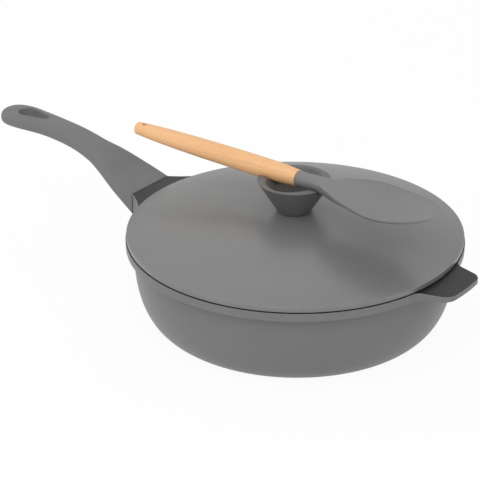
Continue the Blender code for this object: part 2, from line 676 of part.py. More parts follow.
def make_spoon_handle(material, parts, tools):
    """Turned wooden handle with a blunt end and a hanging hole."""
    shares = np.linspace(0.0, 1.0, WOOD_SHAFT_POINTS)
    radii = smooth_curve(WOOD_STATIONS, WOOD_RADII, shares)
    shaft = list(zip(radii.tolist(), (SPOON_JOINT - WOOD_SHAFT * shares).tolist()))
    bend = 2 / WOOD_NOSE_POWER
    nose = [
        (WOOD_RADII[-1] * math.cos(t) ** bend, SPOON_JOINT - WOOD_SHAFT - WOOD_NOSE * math.sin(t) ** bend)
        for t in np.linspace(0.0, math.pi / 2, WOOD_NOSE_POINTS + 1)[1:-1]
    ]
    profile = [(0.0, SPOON_JOINT)] + shaft + nose + [(0.0, WOOD_END)]
    wood = place_on_spoon(turned("spoon_handle", profile, WOOD_STEPS, parts), 0.0)
    socket_length = CORE_IN_WOOD + 2 * SEAT_GAP
    socket = rod("core_socket", CORE_RADIUS + SEAT_GAP, socket_length, SMALL_STEPS, tools)
    combine(wood, place_on_spoon(socket, SPOON_JOINT - CORE_IN_WOOD - SEAT_GAP), "DIFFERENCE")
    hole = rod("hang_hole", HANG_HOLE_RADIUS, 4 * max(WOOD_RADII), SMALL_STEPS, tools)
    middle = Matrix.Translation((WOOD_END + HANG_HOLE_INSET, 0.0, -2 * max(WOOD_RADII)))
    combine(wood, place(hole, spoon_frame() @ middle), "DIFFERENCE")
    return finish(wood, material)


def head_rings():
    """Sections of the head: a round neck that opens into a shallow dish with a keel under its root."""
    along = stepped_lengths(HEAD_BODY, HEAD_TIP, HEAD_BODY_SLICES, HEAD_TIP_SLICES, HEAD_TIP_CUT)
    past = np.clip((along - HEAD_BODY) / HEAD_TIP, 0.0, 1.0)
    rounding = np.sqrt(1.0 - past ** 2)
    share = np.minimum(along / HEAD_BODY, 1.0)
    half_width = smooth_curve(HEAD_STATIONS, HEAD_HALF_WIDTHS, share) * rounding
    crown = smooth_curve(HEAD_STATIONS, HEAD_CROWNS, share) * rounding
    stations = HEAD_STATIONS + (1.0 + HEAD_TIP / HEAD_BODY,)
    rim = smooth_curve(stations, HEAD_RIM_HEIGHTS, along / HEAD_BODY)
    keel = smooth_curve(stations, HEAD_KEELS, along / HEAD_BODY) * rounding
    angle = np.linspace(0.0, 2 * math.pi, HEAD_POINTS, endpoint=False)[None, :]
    sine = np.sin(angle)
    edge = HEAD_EDGE / 2 * np.clip(np.abs(sine) / HEAD_EDGE_BLEND, 0.0, 1.0) * np.sign(sine)
    neck, open_rim = HEAD_OPENING
    opened = np.clip((share - neck) / (open_rim - neck), 0.0, 1.0)[:, None]
    y = half_width[:, None] * np.cos(angle)
    z = rim[:, None] + edge * opened + np.where(sine > 0, crown[:, None], keel[:, None]) * sine
    x = np.repeat((SPOON_JOINT + SEAT_GAP + along)[:, None], HEAD_POINTS, axis=1)
    return np.stack([x, y, z], axis=-1)


def make_spoon_head(material, parts, tools):
    """Silicone head, moulded over the core."""
    head = place(loft("spoon_head", head_rings(), parts), spoon_frame())
    socket_length = CORE_IN_HEAD + 2 * SEAT_GAP
    socket = rod("head_socket", CORE_RADIUS + SEAT_GAP, socket_length, SMALL_STEPS, tools)
    combine(head, place_on_spoon(socket, SPOON_JOINT - SEAT_GAP), "DIFFERENCE")
    return finish(head, material)


def make_spoon_core(material, parts):
    """Stiff core that joins the head to the wooden handle."""
    core = rod("spoon_core", CORE_RADIUS, CORE_IN_WOOD + CORE_IN_HEAD, SMALL_STEPS, parts)
    return finish(place_on_spoon(core, SPOON_JOINT - CORE_IN_WOOD), material)


def make_body(name, frame, pieces, parts):
    """Empty on the pan's axis that carries the pieces of a body that lifts off."""
    body = place(new_object(name, None, parts), frame)
    for piece in pieces:
        hang_on(body, piece)
    return body


def main():
    clear_scene()
    parts = new_collection("saute_pan_with_lid")
    tools = new_collection("cutters")
    steel = finish_material("steel", (0.55, 0.55, 0.55), 0.35, 1.0)
    plate_steel = finish_material("plate_steel", (0.50, 0.50, 0.49), 0.40, 1.0)
    brass = finish_material("brass", (0.60, 0.45, 0.20), 0.35, 1.0)
    make_pan(finish_material("coated_aluminium", (0.19, 0.19, 0.19), 0.55), parts, tools)
    make_induction_plate(plate_steel, parts)
    make_grip(finish_material("soft_grey_grip", (0.18, 0.18, 0.18), 0.60), parts, tools)
    make_grip_fixing(steel, parts, tools)
    lid_pieces = [
        make_lid(finish_material("coated_lid", (0.22, 0.22, 0.22), 0.50), parts),
        make_knob(finish_material("moulded_knob", (0.17, 0.17, 0.17), 0.55), parts, tools),
        *make_knob_fixing(brass, steel, parts, tools),
    ]
    spoon_pieces = [
        make_spoon_handle(finish_material("beech", (0.80, 0.50, 0.26), 0.60), parts, tools),
        make_spoon_head(finish_material("grey_silicone", (0.18, 0.18, 0.18), 0.65), parts, tools),
        make_spoon_core(finish_material("stiff_core", (0.12, 0.12, 0.12), 0.50), parts),
    ]
    lid = make_body("lid", raised(LID_SEAT), lid_pieces, parts)
    hang_on(lid, make_body("spoon", spoon_frame(), spoon_pieces, parts))


main()
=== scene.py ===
"""Surfaces, finishes, light and camera for a deep saute pan with a lid and a spoon parked on its knob."""
import math

import bmesh
import bpy
import numpy as np
from mathutils import Euler, Matrix, Vector


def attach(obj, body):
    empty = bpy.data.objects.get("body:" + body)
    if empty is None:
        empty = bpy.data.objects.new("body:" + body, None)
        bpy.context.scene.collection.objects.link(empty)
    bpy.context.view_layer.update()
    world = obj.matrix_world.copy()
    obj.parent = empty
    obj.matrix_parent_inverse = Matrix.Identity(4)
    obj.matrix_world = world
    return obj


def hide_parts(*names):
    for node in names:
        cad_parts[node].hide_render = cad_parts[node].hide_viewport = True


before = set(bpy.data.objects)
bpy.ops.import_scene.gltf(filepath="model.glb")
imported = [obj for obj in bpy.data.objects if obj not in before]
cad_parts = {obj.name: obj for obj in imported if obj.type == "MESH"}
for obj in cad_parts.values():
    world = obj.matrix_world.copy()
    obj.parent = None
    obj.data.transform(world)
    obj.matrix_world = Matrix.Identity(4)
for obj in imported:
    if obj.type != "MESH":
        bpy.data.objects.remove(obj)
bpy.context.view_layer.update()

# Pan, in metres
PAN_HEIGHT = 0.0748
RIM_RADIUS = 0.1445
RIM_UNDERSIDE = 0.0674
RIM_EDGE = 0.0005             # rounding of the rim band's edges
RIM_STEP = 0.0025             # rounding where the band meets the wall below it
MOUTH_EDGE = 0.0008           # rounding of the mouth's inner edge
WALL_TOP = 0.1377
STRAIGHT_TOP = 0.0665         # where the wall's straight taper starts
INNER_TOP = 0.1347
FLOOR = 0.0042
FLOOR_INSET = 0.0030          # how much smaller the floor is than the base
BASE_RADIUS = 0.1110
STRAIGHT_WALL = 0.0087
WALL_TAPER = 0.012            # slope of the straight part
WALL_ROUNDNESS = 2.12         # power of the superellipse
PLATE_RECESS = (0.0933, 0.0013)                     # radius and depth
RECESS_EDGES = (0.0003, 0.0002)                     # roundings at its mouth and in its corner

# Cast handles
HELPER_REACH = 0.1690
HELPER_HALF_WIDTH = 0.0265
HELPER_CORNER = 0.0110
HELPER_TAPER = 16.0           # degrees
HELPER_ROOT = 0.0095          # hollow rounding where its sides meet the rim
HELPER_TIP_THICKNESS = 0.0048
HELPER_LIFTS = (0.00003, 0.0003)                    # top and underside lie this much above the rim band's
HELPER_EDGES = (0.0008, 0.0005)                     # roundings of its top and lower edges
HELPER_SPINE = (0.1440, 0.1560)                     # the line that its rows of points start and end on
BRACKET_REACH = 0.1604
BRACKET_HALF_WIDTH = 0.0255
BRACKET_ROOT_HALF_WIDTH = 0.0460
BRACKET_FLARE = 0.1000        # radius of its hollow sides
BRACKET_TOP_ROOT = (0.1446, 0.0440)                 # radius and half width of its level top at the lid
BRACKET_TOP_FLARE = 0.0880
BRACKET_TOP_INSET = 0.0001                          # how far the top's inner arc lies inside that radius
BRACKET_TOP = 0.0772
BRACKET_BOTTOM = 0.0572
BRACKET_ROOT_DROP = 0.0035    # how much lower its underside is at the rim
BRACKET_CORNER = 0.0004
BRACKET_EDGES = (0.0004, 0.0004)
BRACKET_SPINE = (-0.1580, -0.1480)
BRACKET_FILLET = 0.0030       # hollow rounding where the bracket's underside meets the wall
BURIED_RADIUS = 0.1362        # inner end of the helper and of the bracket's underside, inside the wall

# Grip
GRIP_START = 0.1607
GRIP_BODY = 0.1513
GRIP_TIP = 0.02535
GRIP_STATIONS = (0.0, 0.1606, 0.3258, 0.5241, 0.7555, 1.0)    # shares of the body, outwards
GRIP_HALF_WIDTHS = (0.0261, 0.0234, 0.0161, 0.0123, 0.0142, 0.0180)
GRIP_TOPS = (0.0006, 0.0098, 0.0232, 0.0328, 0.0359, 0.0371)    # heights over the bracket's top
GRIP_UNDERSIDES = (-0.0204, -0.0058, 0.0035, 0.0140, 0.0211, 0.0221)
GRIP_WAIST = 0.4250           # share of the body at which the section has become oval
GRIP_SQUARENESS = (14.0, 2.7)                       # power at the bracket, and from the waist on
GRIP_TIP_POWER = 2.8          # of the superellipse that closes the tip
GRIP_TIP_FLATNESS = 0.4       # below 1 the tip's height closes later than its width
GRIP_END_EDGE = 0.0004        # rounding of the end that meets the bracket
SLOT_ENDS = ((0.3101, 0.0086), (0.2887, 0.0045))    # place and radius of its wide and its narrow end
SLOT_EDGE = 0.0012
THUMB_HOLLOW = (0.1800, 0.0130, 0.0095, 0.0008)     # place, half length, half width and depth

# Lid and knob
LID_RADIUS = 0.1437
LID_SEAT = 0.0752
LID_TOP = 0.0962
LID_RISE = 0.0167
DOME_POWER = 2.15
LID_WALL = 0.0026
LID_EDGES = (0.0004, 0.0005, 0.0004, 0.0005, 0.0005, 0.0006)    # roundings from the dome's edge inwards
LOCATING_RING = (0.1340, 0.1312, 0.0052)            # outer radius, inner radius and depth
KNOB_FOOT = 0.0965
KNOB_TOP = 0.1248
KNOB_FOOT_RADIUS = 0.0142
KNOB_TOP_RADIUS = 0.0318
KNOB_FOOT_EDGE = 0.0006
KNOB_EDGE = 0.0005            # rounding of the ring's outer edge
KNOB_SHIFT = -0.0010          # along X, towards the grip
CUP_HALF_LENGTH = 0.0228
CUP_HALF_WIDTH = 0.0284
CUP_FLOOR = 0.1075
CUP_FLOOR_RADIUS = 0.0090
CUP_FLOOR_EDGE = 0.0012
CUP_EDGE = 0.0016             # rounding from the ring into the cup
NOTCH_RADIUS = 0.0110
NOTCH_BOTTOM = 0.1184
NOTCH_EDGE = 0.0005           # over which the notch's floor blends into the ring's top

# Spoon
SPOON_TILT = 0.0178           # radians
SPOON_JOINT = 0.0030          # where the wood ends, from the knob's axis
SPOON_AXIS_HEIGHT = 0.12687
WOOD_SHAFT = 0.1745
WOOD_NOSE = 0.0027
WOOD_NOSE_POWER = 2.5
WOOD_END_EDGE = 0.0006        # rounding of the end that meets the head
WOOD_STATIONS = (0.0, 0.0855, 0.1880, 0.4444, 0.6439, 0.8148, 0.9231, 1.0)    # shares of the shaft, backwards
WOOD_RADII = (0.0072, 0.0083, 0.0087, 0.0087, 0.0083, 0.0075, 0.0066, 0.0058)
HANG_HOLE = (0.1645, 0.0026)                        # place behind the knob's axis, and radius
HANG_HOLE_EDGE = 0.0004
HEAD_START = 0.0033
HEAD_BODY = 0.0847
HEAD_TIP = 0.0497
HEAD_STATIONS = (0.0, 0.1027, 0.1972, 0.3152, 0.4333, 0.6104, 0.7875, 1.0)    # shares of the body, outwards
HEAD_HALF_WIDTHS = (0.0070, 0.0067, 0.0072, 0.0090, 0.0153, 0.0236, 0.0291, 0.0316)
# Heights of the dish over its rim, heights of the rim, and depths of the keel. The last two end at the tip
HEAD_CROWNS = (0.0070, 0.0062, 0.0052, 0.0030, 0.0000, -0.0032, -0.0046, -0.0048)
HEAD_RIM_HEIGHTS = (0.0000, 0.0003, 0.0016, 0.0032, 0.0045, 0.0049, 0.0045, 0.0023, 0.0049)
HEAD_KEELS = (0.0070, 0.0070, 0.0086, 0.0104, 0.0120, 0.0118, 0.0098, 0.0060, 0.0018)
HEAD_END_EDGE = 0.0006
HEAD_EDGE = 0.0016            # thickness of the rim
HEAD_EDGE_SINE = 0.2          # sine of the angle round a section at which the rim's rounding ends
HEAD_BEVEL = 0.0013           # height of the slanting face under the rim
HEAD_BEVEL_WIDTH = 0.063      # its width, as a share of the half width
HEAD_OPENING = (0.1972, 0.6104)                     # shares between which the neck becomes the dish
HEAD_TIP_FADE = 0.55          # the rim fades where the tip is narrower than this share
KEEL_SHARPENING = 0.8

# Fineness of the grids
TURN_STEPS = 320              # round the bowl and the lid
KNOB_STEPS = 720
HEAD_STEPS = 192
TOP_TRIES = 12                # for the heights where the knob's cone and cup end
ARC_POINTS = 9                # on each rounding in the profiles of the bowl and the lid
SLOT_END_POINTS = 26
LUG_ROWS = (22, 8, 14, 40)    # over a cast handle's top, over each edge, down its side and under it
MERGE_DISTANCE = 2e-6
SHORTEST_EDGE = 1e-7
TINY = 1e-9                   # keeps a width from being zero in a division
LEAST_STEP = 1e-5             # between a tube's last whole ring and its slot

# Lighter edges, as widths in metres and strengths: partly wear and, along the top edges of the lid and the
# rim, a painted highlight. Also how far the dark coat reaches round a cast handle's top edge
TOP_WEAR_AND_HIGHLIGHT_WIDTH = 0.0005
BAND_WEAR = (0.0006, 0.7)
LUG_LOWER_WEAR = 0.6
DARK_TURN = math.radians(30)


# Curves and surfaces

def smooth_curve(stations, values, places):
    """Values at places between stations, on cubic pieces whose slopes match at each station."""
    stations, values = np.asarray(stations), np.asarray(values)
    slopes = np.gradient(values, stations)
    span = np.clip(np.searchsorted(stations, places) - 1, 0, len(stations) - 2)
    width = stations[span + 1] - stations[span]
    t = (places - stations[span]) / width
    return ((1 + 2 * t) * (1 - t) ** 2 * values[span] + t * (1 - t) ** 2 * width * slopes[span]
            + t ** 2 * (3 - 2 * t) * values[span + 1] + t ** 2 * (t - 1) * width * slopes[span + 1])


def ease(x, low, high):
    """Rises smoothly from 0 at low to 1 at high."""
    t = np.clip((x - low) / (high - low), 0.0, 1.0)
    return t * t * (3 - 2 * t)


def arc(centre, radius, start, end, count):
    """Points on an arc, with angles in degrees."""
    angle = np.radians(np.linspace(start, end, count))
    return np.stack([centre[0] + radius * np.cos(angle), centre[1] + radius * np.sin(angle)], axis=-1)


def rounded(corners, radii, count):
    """Polyline through corners. A corner with a radius becomes the arc that touches both its sides."""
    corners = np.asarray(corners, dtype=float)
    points = [corners[:1]]
    for before, corner, after, radius in zip(corners[:-2], corners[1:-1], corners[2:], radii):
        to_before = (before - corner) / np.linalg.norm(before - corner)
        to_after = (after - corner) / np.linalg.norm(after - corner)
        half_angle = math.acos(np.clip(to_before @ to_after, -1.0, 1.0)) / 2
        if radius <= 0 or half_angle > math.radians(89):
            points.append(corner[None])
            continue
        inwards = (to_before + to_after) / np.linalg.norm(to_before + to_after)
        middle = corner + inwards * radius / math.sin(half_angle)
        start = corner + to_before * radius / math.tan(half_angle) - middle
        end = corner + to_after * radius / math.tan(half_angle) - middle
        turn = math.atan2(start[0] * end[1] - start[1] * end[0], start @ end)
        angle = np.linspace(0.0, turn, count)[:, None]
        across = np.array([-start[1], start[0]])
        points.append(middle + start * np.cos(angle) + across * np.sin(angle))
    points.append(corners[-1:])
    return np.concatenate(points)


def along(start, end, count):
    """Points on a straight line between two points, both ends included."""
    t = np.linspace(0.0, 1.0, count)[:, None]
    return np.asarray(start) * (1 - t) + np.asarray(end) * t


def turned(profile, steps):
    """Surface of revolution: point (i, j) is profile point i, as radius and height, turned j steps."""
    angle = np.linspace(0.0, 2 * math.pi, steps, endpoint=False)
    radius, height = profile[:, :1], np.broadcast_to(profile[:, 1:], (len(profile), steps))
    return np.stack([radius * np.cos(angle), radius * np.sin(angle), height], axis=-1)


def wear_and_highlight_near(profile, corner, width):
    """How much wear and painted highlight lighten each profile point: exp(-(distance from the corner /
    width)^2).
    """
    return np.exp(-(np.hypot(profile[:, 0] - corner[0], profile[:, 1] - corner[1]) / width) ** 2)


def end_cap(loop, centre, rings):
    """Flat cap: rings of points that shrink a closed loop evenly to its centre."""
    return centre + (loop - centre) * np.linspace(0.0, 1.0, rings)[:, None, None]


def sheet_faces(rows, columns, wraps):
    """Quads over a grid of points, row by row, closed round from the last column to the first if it wraps."""
    index = np.arange(rows * columns).reshape(rows, columns)
    if wraps:
        index = np.concatenate([index, index[:, :1]], axis=1)
    return np.stack([index[:-1, :-1], index[1:, :-1], index[1:, 1:], index[:-1, 1:]], axis=-1).reshape(-1, 4)


def add_object(name, data):
    """Puts a new object into the scene."""
    made = bpy.data.objects.new(name, data)
    bpy.context.scene.collection.objects.link(made)
    return made


def make_piece(name, grids, body, replaces=(), masks=None, place=None):
    """Joins grids of points into one closed smooth piece. A grid is (points, wraps). A mask gives its values
    grid by grid, and place turns and moves the mesh itself."""
    vertices, faces, first = [], [], 0
    for points, wraps in grids:
        rows, columns = points.shape[:2]
        vertices.append(points.reshape(-1, 3))
        faces.append(sheet_faces(rows, columns, wraps) + first)
        first += rows * columns
    vertices, faces = np.concatenate(vertices), np.concatenate(faces)
    mesh = bpy.data.meshes.new(name)
    mesh.vertices.add(len(vertices))
    mesh.vertices.foreach_set("co", vertices.ravel())
    mesh.loops.add(faces.size)
    mesh.loops.foreach_set("vertex_index", faces.ravel())
    mesh.polygons.add(len(faces))
    mesh.polygons.foreach_set("loop_start", np.arange(0, faces.size, 4))
    mesh.polygons.foreach_set("loop_total", np.full(len(faces), 4))
    mesh.update(calc_edges=True)
    for mask, values in (masks or {}).items():
        layer = mesh.attributes.new(mask, "FLOAT", "POINT")
        layer.data.foreach_set("value", np.concatenate([grid.ravel() for grid in values]).astype(np.float32))
    shape = bmesh.new()
    shape.from_mesh(mesh)
    bmesh.ops.remove_doubles(shape, verts=shape.verts, dist=MERGE_DISTANCE)
    bmesh.ops.dissolve_degenerate(shape, dist=SHORTEST_EDGE, edges=shape.edges)
    bmesh.ops.recalc_face_normals(shape, faces=shape.faces)
    if place is not None:
        bmesh.ops.transform(shape, matrix=place, verts=shape.verts)
    shape.to_mesh(mesh)
    shape.free()
    mesh.shade_smooth()
    piece = add_object(name, mesh)
    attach(piece, body)
    if replaces:
        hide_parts(*replaces)
    return piece


def make_turned(name, profile, dark, wear_and_highlight, body, replaced):
    """Piece turned about Z from a closed profile. Its two masks are given along the profile."""
    masks = {mask: [np.repeat(values[:, None], TURN_STEPS, axis=1)]
             for mask, values in (("dark_coat_and_shadow", dark), ("edge", wear_and_highlight))}
    grids = [(turned(profile, TURN_STEPS), True)]
    return make_piece(name, grids, body, masks=masks, replaces=[replaced])


# Pan and its cast handles

def wall_curve(top_radius, base_radius, base_height, count):
    """Pan wall from the band's underside down: a straight taper, then a superellipse round to the base."""
    corner_radius = top_radius - WALL_TAPER * STRAIGHT_WALL
    corner_height = STRAIGHT_TOP - STRAIGHT_WALL
    t = np.linspace(0.0, math.pi / 2, count)
    radius = base_radius + (corner_radius - base_radius) * np.cos(t) ** (2 / WALL_ROUNDNESS)
    height = corner_height - (corner_height - base_height) * np.sin(t) ** (2 / WALL_ROUNDNESS)
    return np.stack([radius, height], axis=-1)


def make_bowl():
    """Bowl turned from one closed profile: floor, inner wall, rim band with rounded edges, outer wall and the
    base with the plate's recess. The dark coat reaches half way round the band's top edge; where it shows
    beside the lid's edge it is painted shadow of the crevice there."""
    inside = wall_curve(INNER_TOP, BASE_RADIUS - FLOOR_INSET, FLOOR, count=48)[::-1]
    outside = wall_curve(WALL_TOP, BASE_RADIUS, 0.0, count=56)
    rim = rounded(
        [inside[-1], (INNER_TOP, PAN_HEIGHT), (RIM_RADIUS, PAN_HEIGHT), (RIM_RADIUS, RIM_UNDERSIDE),
         (WALL_TOP, RIM_UNDERSIDE), outside[0]],
        (MOUTH_EDGE, RIM_EDGE, RIM_EDGE, RIM_STEP), ARC_POINTS)
    recess_radius, recess_height = PLATE_RECESS
    base = rounded([outside[-1], (recess_radius, 0.0), (recess_radius, recess_height), (0.0, recess_height)],
                   RECESS_EDGES, count=5)
    floor = along((0.0, FLOOR), inside[0], count=8)
    profile = np.concatenate([floor[:-1], inside[:-1], rim[:-1], outside[:-1], base])
    # The dark ends half way round the band's top edge; the strip of it beside the lid's edge is painted
    # shadow
    coat_and_shadow_end = len(floor[:-1]) + len(inside[:-1]) + 1 + ARC_POINTS + (ARC_POINTS + 1) // 2
    dark = np.where(np.arange(len(profile)) < coat_and_shadow_end, 1.0, 0.0)
    band_width, band_strength = BAND_WEAR
    # Lighter edges: wear at the band's lower edge, and wear with a painted highlight along the rim's top edge
    wear_and_highlight = wear_and_highlight_near(profile, (RIM_RADIUS, PAN_HEIGHT), TOP_WEAR_AND_HIGHLIGHT_WIDTH)
    wear_and_highlight += band_strength * wear_and_highlight_near(profile, (RIM_RADIUS, RIM_UNDERSIDE), band_width)
    return make_turned("pan_bowl", profile, dark, wear_and_highlight, "pan", "pan_body")


def outward(outline):
    """Unit normals of a closed outline."""
    step = np.roll(outline, -1, axis=0) - np.roll(outline, 1, axis=0)
    normal = np.stack([step[:, 1], -step[:, 0]], axis=-1) / np.linalg.norm(step, axis=1)[:, None]
    return normal * np.sign(np.sum(normal * (outline - outline.mean(axis=0))))


def lug(outlines, spine, top_at, under_at, edges):
    """Flat cast lug between the closed outlines of its top and its underside, as rows of points: from the
    spine out over the top, a quarter round over its edge, down the side, a quarter round under the lower edge
    and back to the spine. Over the top and under it a row is spine + (outline - spine) t. Down the side it is
    top (1 - t^2) + underside t^2, at a height that falls evenly with t."""
    top, under = outlines
    top_edge, under_edge = edges
    top_rows, edge_rows, side_rows, under_rows = LUG_ROWS
    rows, dark, wear_and_highlight = [], [], []

    def add(flat, height, is_dark=0.0, is_worn=0.0):
        rows.append(np.concatenate([flat, height[:, None]], axis=1))
        dark.append(np.full(len(top), is_dark))
        wear_and_highlight.append(np.full(len(top), is_worn))

    def from_spine(line, t):
        middle = np.stack([np.clip(line[:, 0], *spine), np.zeros(len(line))], axis=-1)
        return middle + (line - middle) * t

    inset = top - outward(top) * top_edge
    for t in np.linspace(0.0, 1.0, top_rows):
        flat = from_spine(inset, t)
        add(flat, top_at(*flat.T), is_dark=1.0)
    for angle in np.radians(np.linspace(0, 90, edge_rows)[1:]):
        flat = inset + (top - inset) * math.sin(angle)
        height = top_at(*flat.T) - top_edge * (1 - math.cos(angle))
        add(flat, height, float(angle < DARK_TURN), math.sin(2 * angle))
    top_height, under_height = top_at(*top.T) - top_edge, under_at(*under.T) + under_edge
    for t in np.linspace(0.0, 1.0, side_rows)[1:-1]:
        add(top * (1 - t * t) + under * t * t, top_height * (1 - t) + under_height * t)
    inset = under - outward(under) * under_edge
    for angle in np.radians(np.linspace(90, 0, edge_rows)):
        flat = inset + (under - inset) * math.sin(angle)
        height = under_at(*flat.T) + under_edge * (1 - math.cos(angle))
        add(flat, height, is_worn=LUG_LOWER_WEAR * math.sin(2 * angle))
    for t in np.linspace(1.0, 0.0, under_rows)[1:]:
        flat = from_spine(inset, t)
        add(flat, under_at(*flat.T))
    return np.stack(rows), np.stack(dark), np.stack(wear_and_highlight)


def make_lug(name, outlines, spine, top_at, under_at, edges):
    """Cast handle of the pan, made by lug."""
    points, dark, wear_and_highlight = lug(outlines, spine, top_at, under_at, edges)
    masks = {"dark_coat_and_shadow": [dark], "edge": [wear_and_highlight]}
    return make_piece(name, [(points, True)], "pan", masks=masks)


def wall_fillet(x, y):
    """How far the bracket's underside drops near the wall: a hollow quarter round."""
    left = BRACKET_FILLET - np.clip(np.hypot(x, y) - WALL_TOP, 0.0, BRACKET_FILLET)
    return BRACKET_FILLET - np.sqrt(BRACKET_FILLET ** 2 - left ** 2)


def mirrored(half, sign=1.0):
    """Closed outline from its half with y >= 0 and its mirror image. Sign -1 turns x over as well."""
    other = half[::-1][1:-1] * (1, -1)
    return np.concatenate([half, other]) * (sign, 1)


def make_helper():
    """Helper handle. Its half outline is four arcs: inside the wall, a hollow that leads the leaning side
    into the rim, the corner, and the tip along the rim. Its underside rises evenly beyond the rim."""
    corner_y = HELPER_HALF_WIDTH - HELPER_CORNER
    corner = np.array([math.sqrt((HELPER_REACH - HELPER_CORNER) ** 2 - corner_y ** 2), corner_y])
    lean = math.radians(HELPER_TAPER)
    off_side = np.array([math.sin(lean), math.cos(lean)])
    to_rim = np.array([-off_side[1], off_side[0]])
    start = corner + (HELPER_CORNER + HELPER_ROOT) * off_side
    back = start @ to_rim
    reach = math.sqrt(back ** 2 - start @ start + (RIM_RADIUS + HELPER_ROOT) ** 2)
    hollow = start - (back + reach) * to_rim
    meets_rim = math.degrees(math.atan2(hollow[1], hollow[0]))
    meets_tip = math.degrees(math.atan2(corner[1], corner[0]))
    outline = mirrored(np.concatenate([
        arc((0.0, 0.0), BURIED_RADIUS, 0.0, meets_rim, count=20),
        arc(hollow, HELPER_ROOT, 180 + meets_rim, 270 - HELPER_TAPER, count=24),
        arc(corner, HELPER_CORNER, 90 - HELPER_TAPER, meets_tip, count=30),
        arc((0.0, 0.0), HELPER_REACH, meets_tip, 0.0, count=14)[1:],
    ]))
    slope = (PAN_HEIGHT - RIM_UNDERSIDE - HELPER_TIP_THICKNESS) / (HELPER_REACH - RIM_RADIUS)
    top_lift, under_lift = HELPER_LIFTS
    return make_lug(
        "pan_helper_handle", (outline, outline), HELPER_SPINE,
        lambda x, y: np.full_like(x, PAN_HEIGHT + top_lift),
        lambda x, y: RIM_UNDERSIDE + under_lift + slope * np.clip(np.hypot(x, y) - RIM_RADIUS, 0, None),
        HELPER_EDGES)


def bracket_half(inner_radius, root_radius, root_half_width, flare_radius):
    """Half outline of the bracket: inner arc, hollow arc from the rim to the grip's end, and that end."""
    root_angle = math.asin(root_half_width / root_radius)
    start = root_radius * np.array([math.cos(root_angle), math.sin(root_angle)])
    end = np.array([BRACKET_REACH, BRACKET_HALF_WIDTH])
    way = end - start
    left = np.array([-way[1], way[0]]) / np.linalg.norm(way)
    centre = (start + end) / 2 + left * math.sqrt(flare_radius ** 2 - way @ way / 4)
    first, last = (math.degrees(math.atan2(*(point - centre)[::-1])) for point in (start, end))
    flare = arc(centre, flare_radius, first, first + (last - first + 180) % 360 - 180, count=40)
    radii = [0.0] * (len(flare) - 2) + [BRACKET_CORNER]
    return np.concatenate([
        arc((0.0, 0.0), inner_radius, 0.0, math.degrees(root_angle), count=24),
        rounded([*flare, (BRACKET_REACH, 0.0)], radii, count=6),
    ])


def make_bracket():
    """Bracket: its level top ends at the lid and its sides flare towards the rim. Its underside falls evenly
    from the grip inwards, and ends in a fillet at the wall."""
    top = bracket_half(BRACKET_TOP_ROOT[0] - BRACKET_TOP_INSET, *BRACKET_TOP_ROOT, BRACKET_TOP_FLARE)
    under = bracket_half(BURIED_RADIUS, RIM_RADIUS, BRACKET_ROOT_HALF_WIDTH, BRACKET_FLARE)
    drop = BRACKET_ROOT_DROP / (BRACKET_REACH - RIM_RADIUS)
    return make_lug(
        "pan_bracket", (mirrored(top, -1.0), mirrored(under, -1.0)), BRACKET_SPINE,
        lambda x, y: np.full_like(x, BRACKET_TOP),
        lambda x, y: BRACKET_BOTTOM - drop * (BRACKET_REACH + x) - wall_fillet(x, y),
        BRACKET_EDGES)


# Grip and wood: a tube pierced from top to bottom

def round_end(place, radius, start, end, count):
    """Points and normals of an arc round a place behind the axis, with angles in degrees."""
    angle = np.radians(np.linspace(start, end, count))
    normal = np.stack([np.cos(angle), np.sin(angle)], axis=-1)
    return np.array([-place, 0.0]) + normal * radius, normal


def slot_outline(ends, margin, count):
    """Half outline, with y >= 0, of two round ends joined by their tangents and grown by a margin, and its
    normals. A round hole has both ends in one place."""
    (wide_place, wide_radius), (narrow_place, narrow_radius) = ends
    if wide_place == narrow_place:
        return round_end(wide_place, wide_radius + margin, 180, 0, 2 * count)
    lean = math.degrees(math.acos((wide_radius - narrow_radius) / (wide_place - narrow_place)))
    wide, wide_normal = round_end(wide_place, wide_radius + margin, 180, lean, count)
    narrow, narrow_normal = round_end(narrow_place, narrow_radius + margin, lean, 0, count)
    between = along(wide[-1], narrow[0], count=9)[1:-1]
    between_normal = np.broadcast_to(narrow_normal[0], between.shape)
    return (np.concatenate([wide, between, narrow]),
            np.concatenate([wide_normal, between_normal, narrow_normal]))


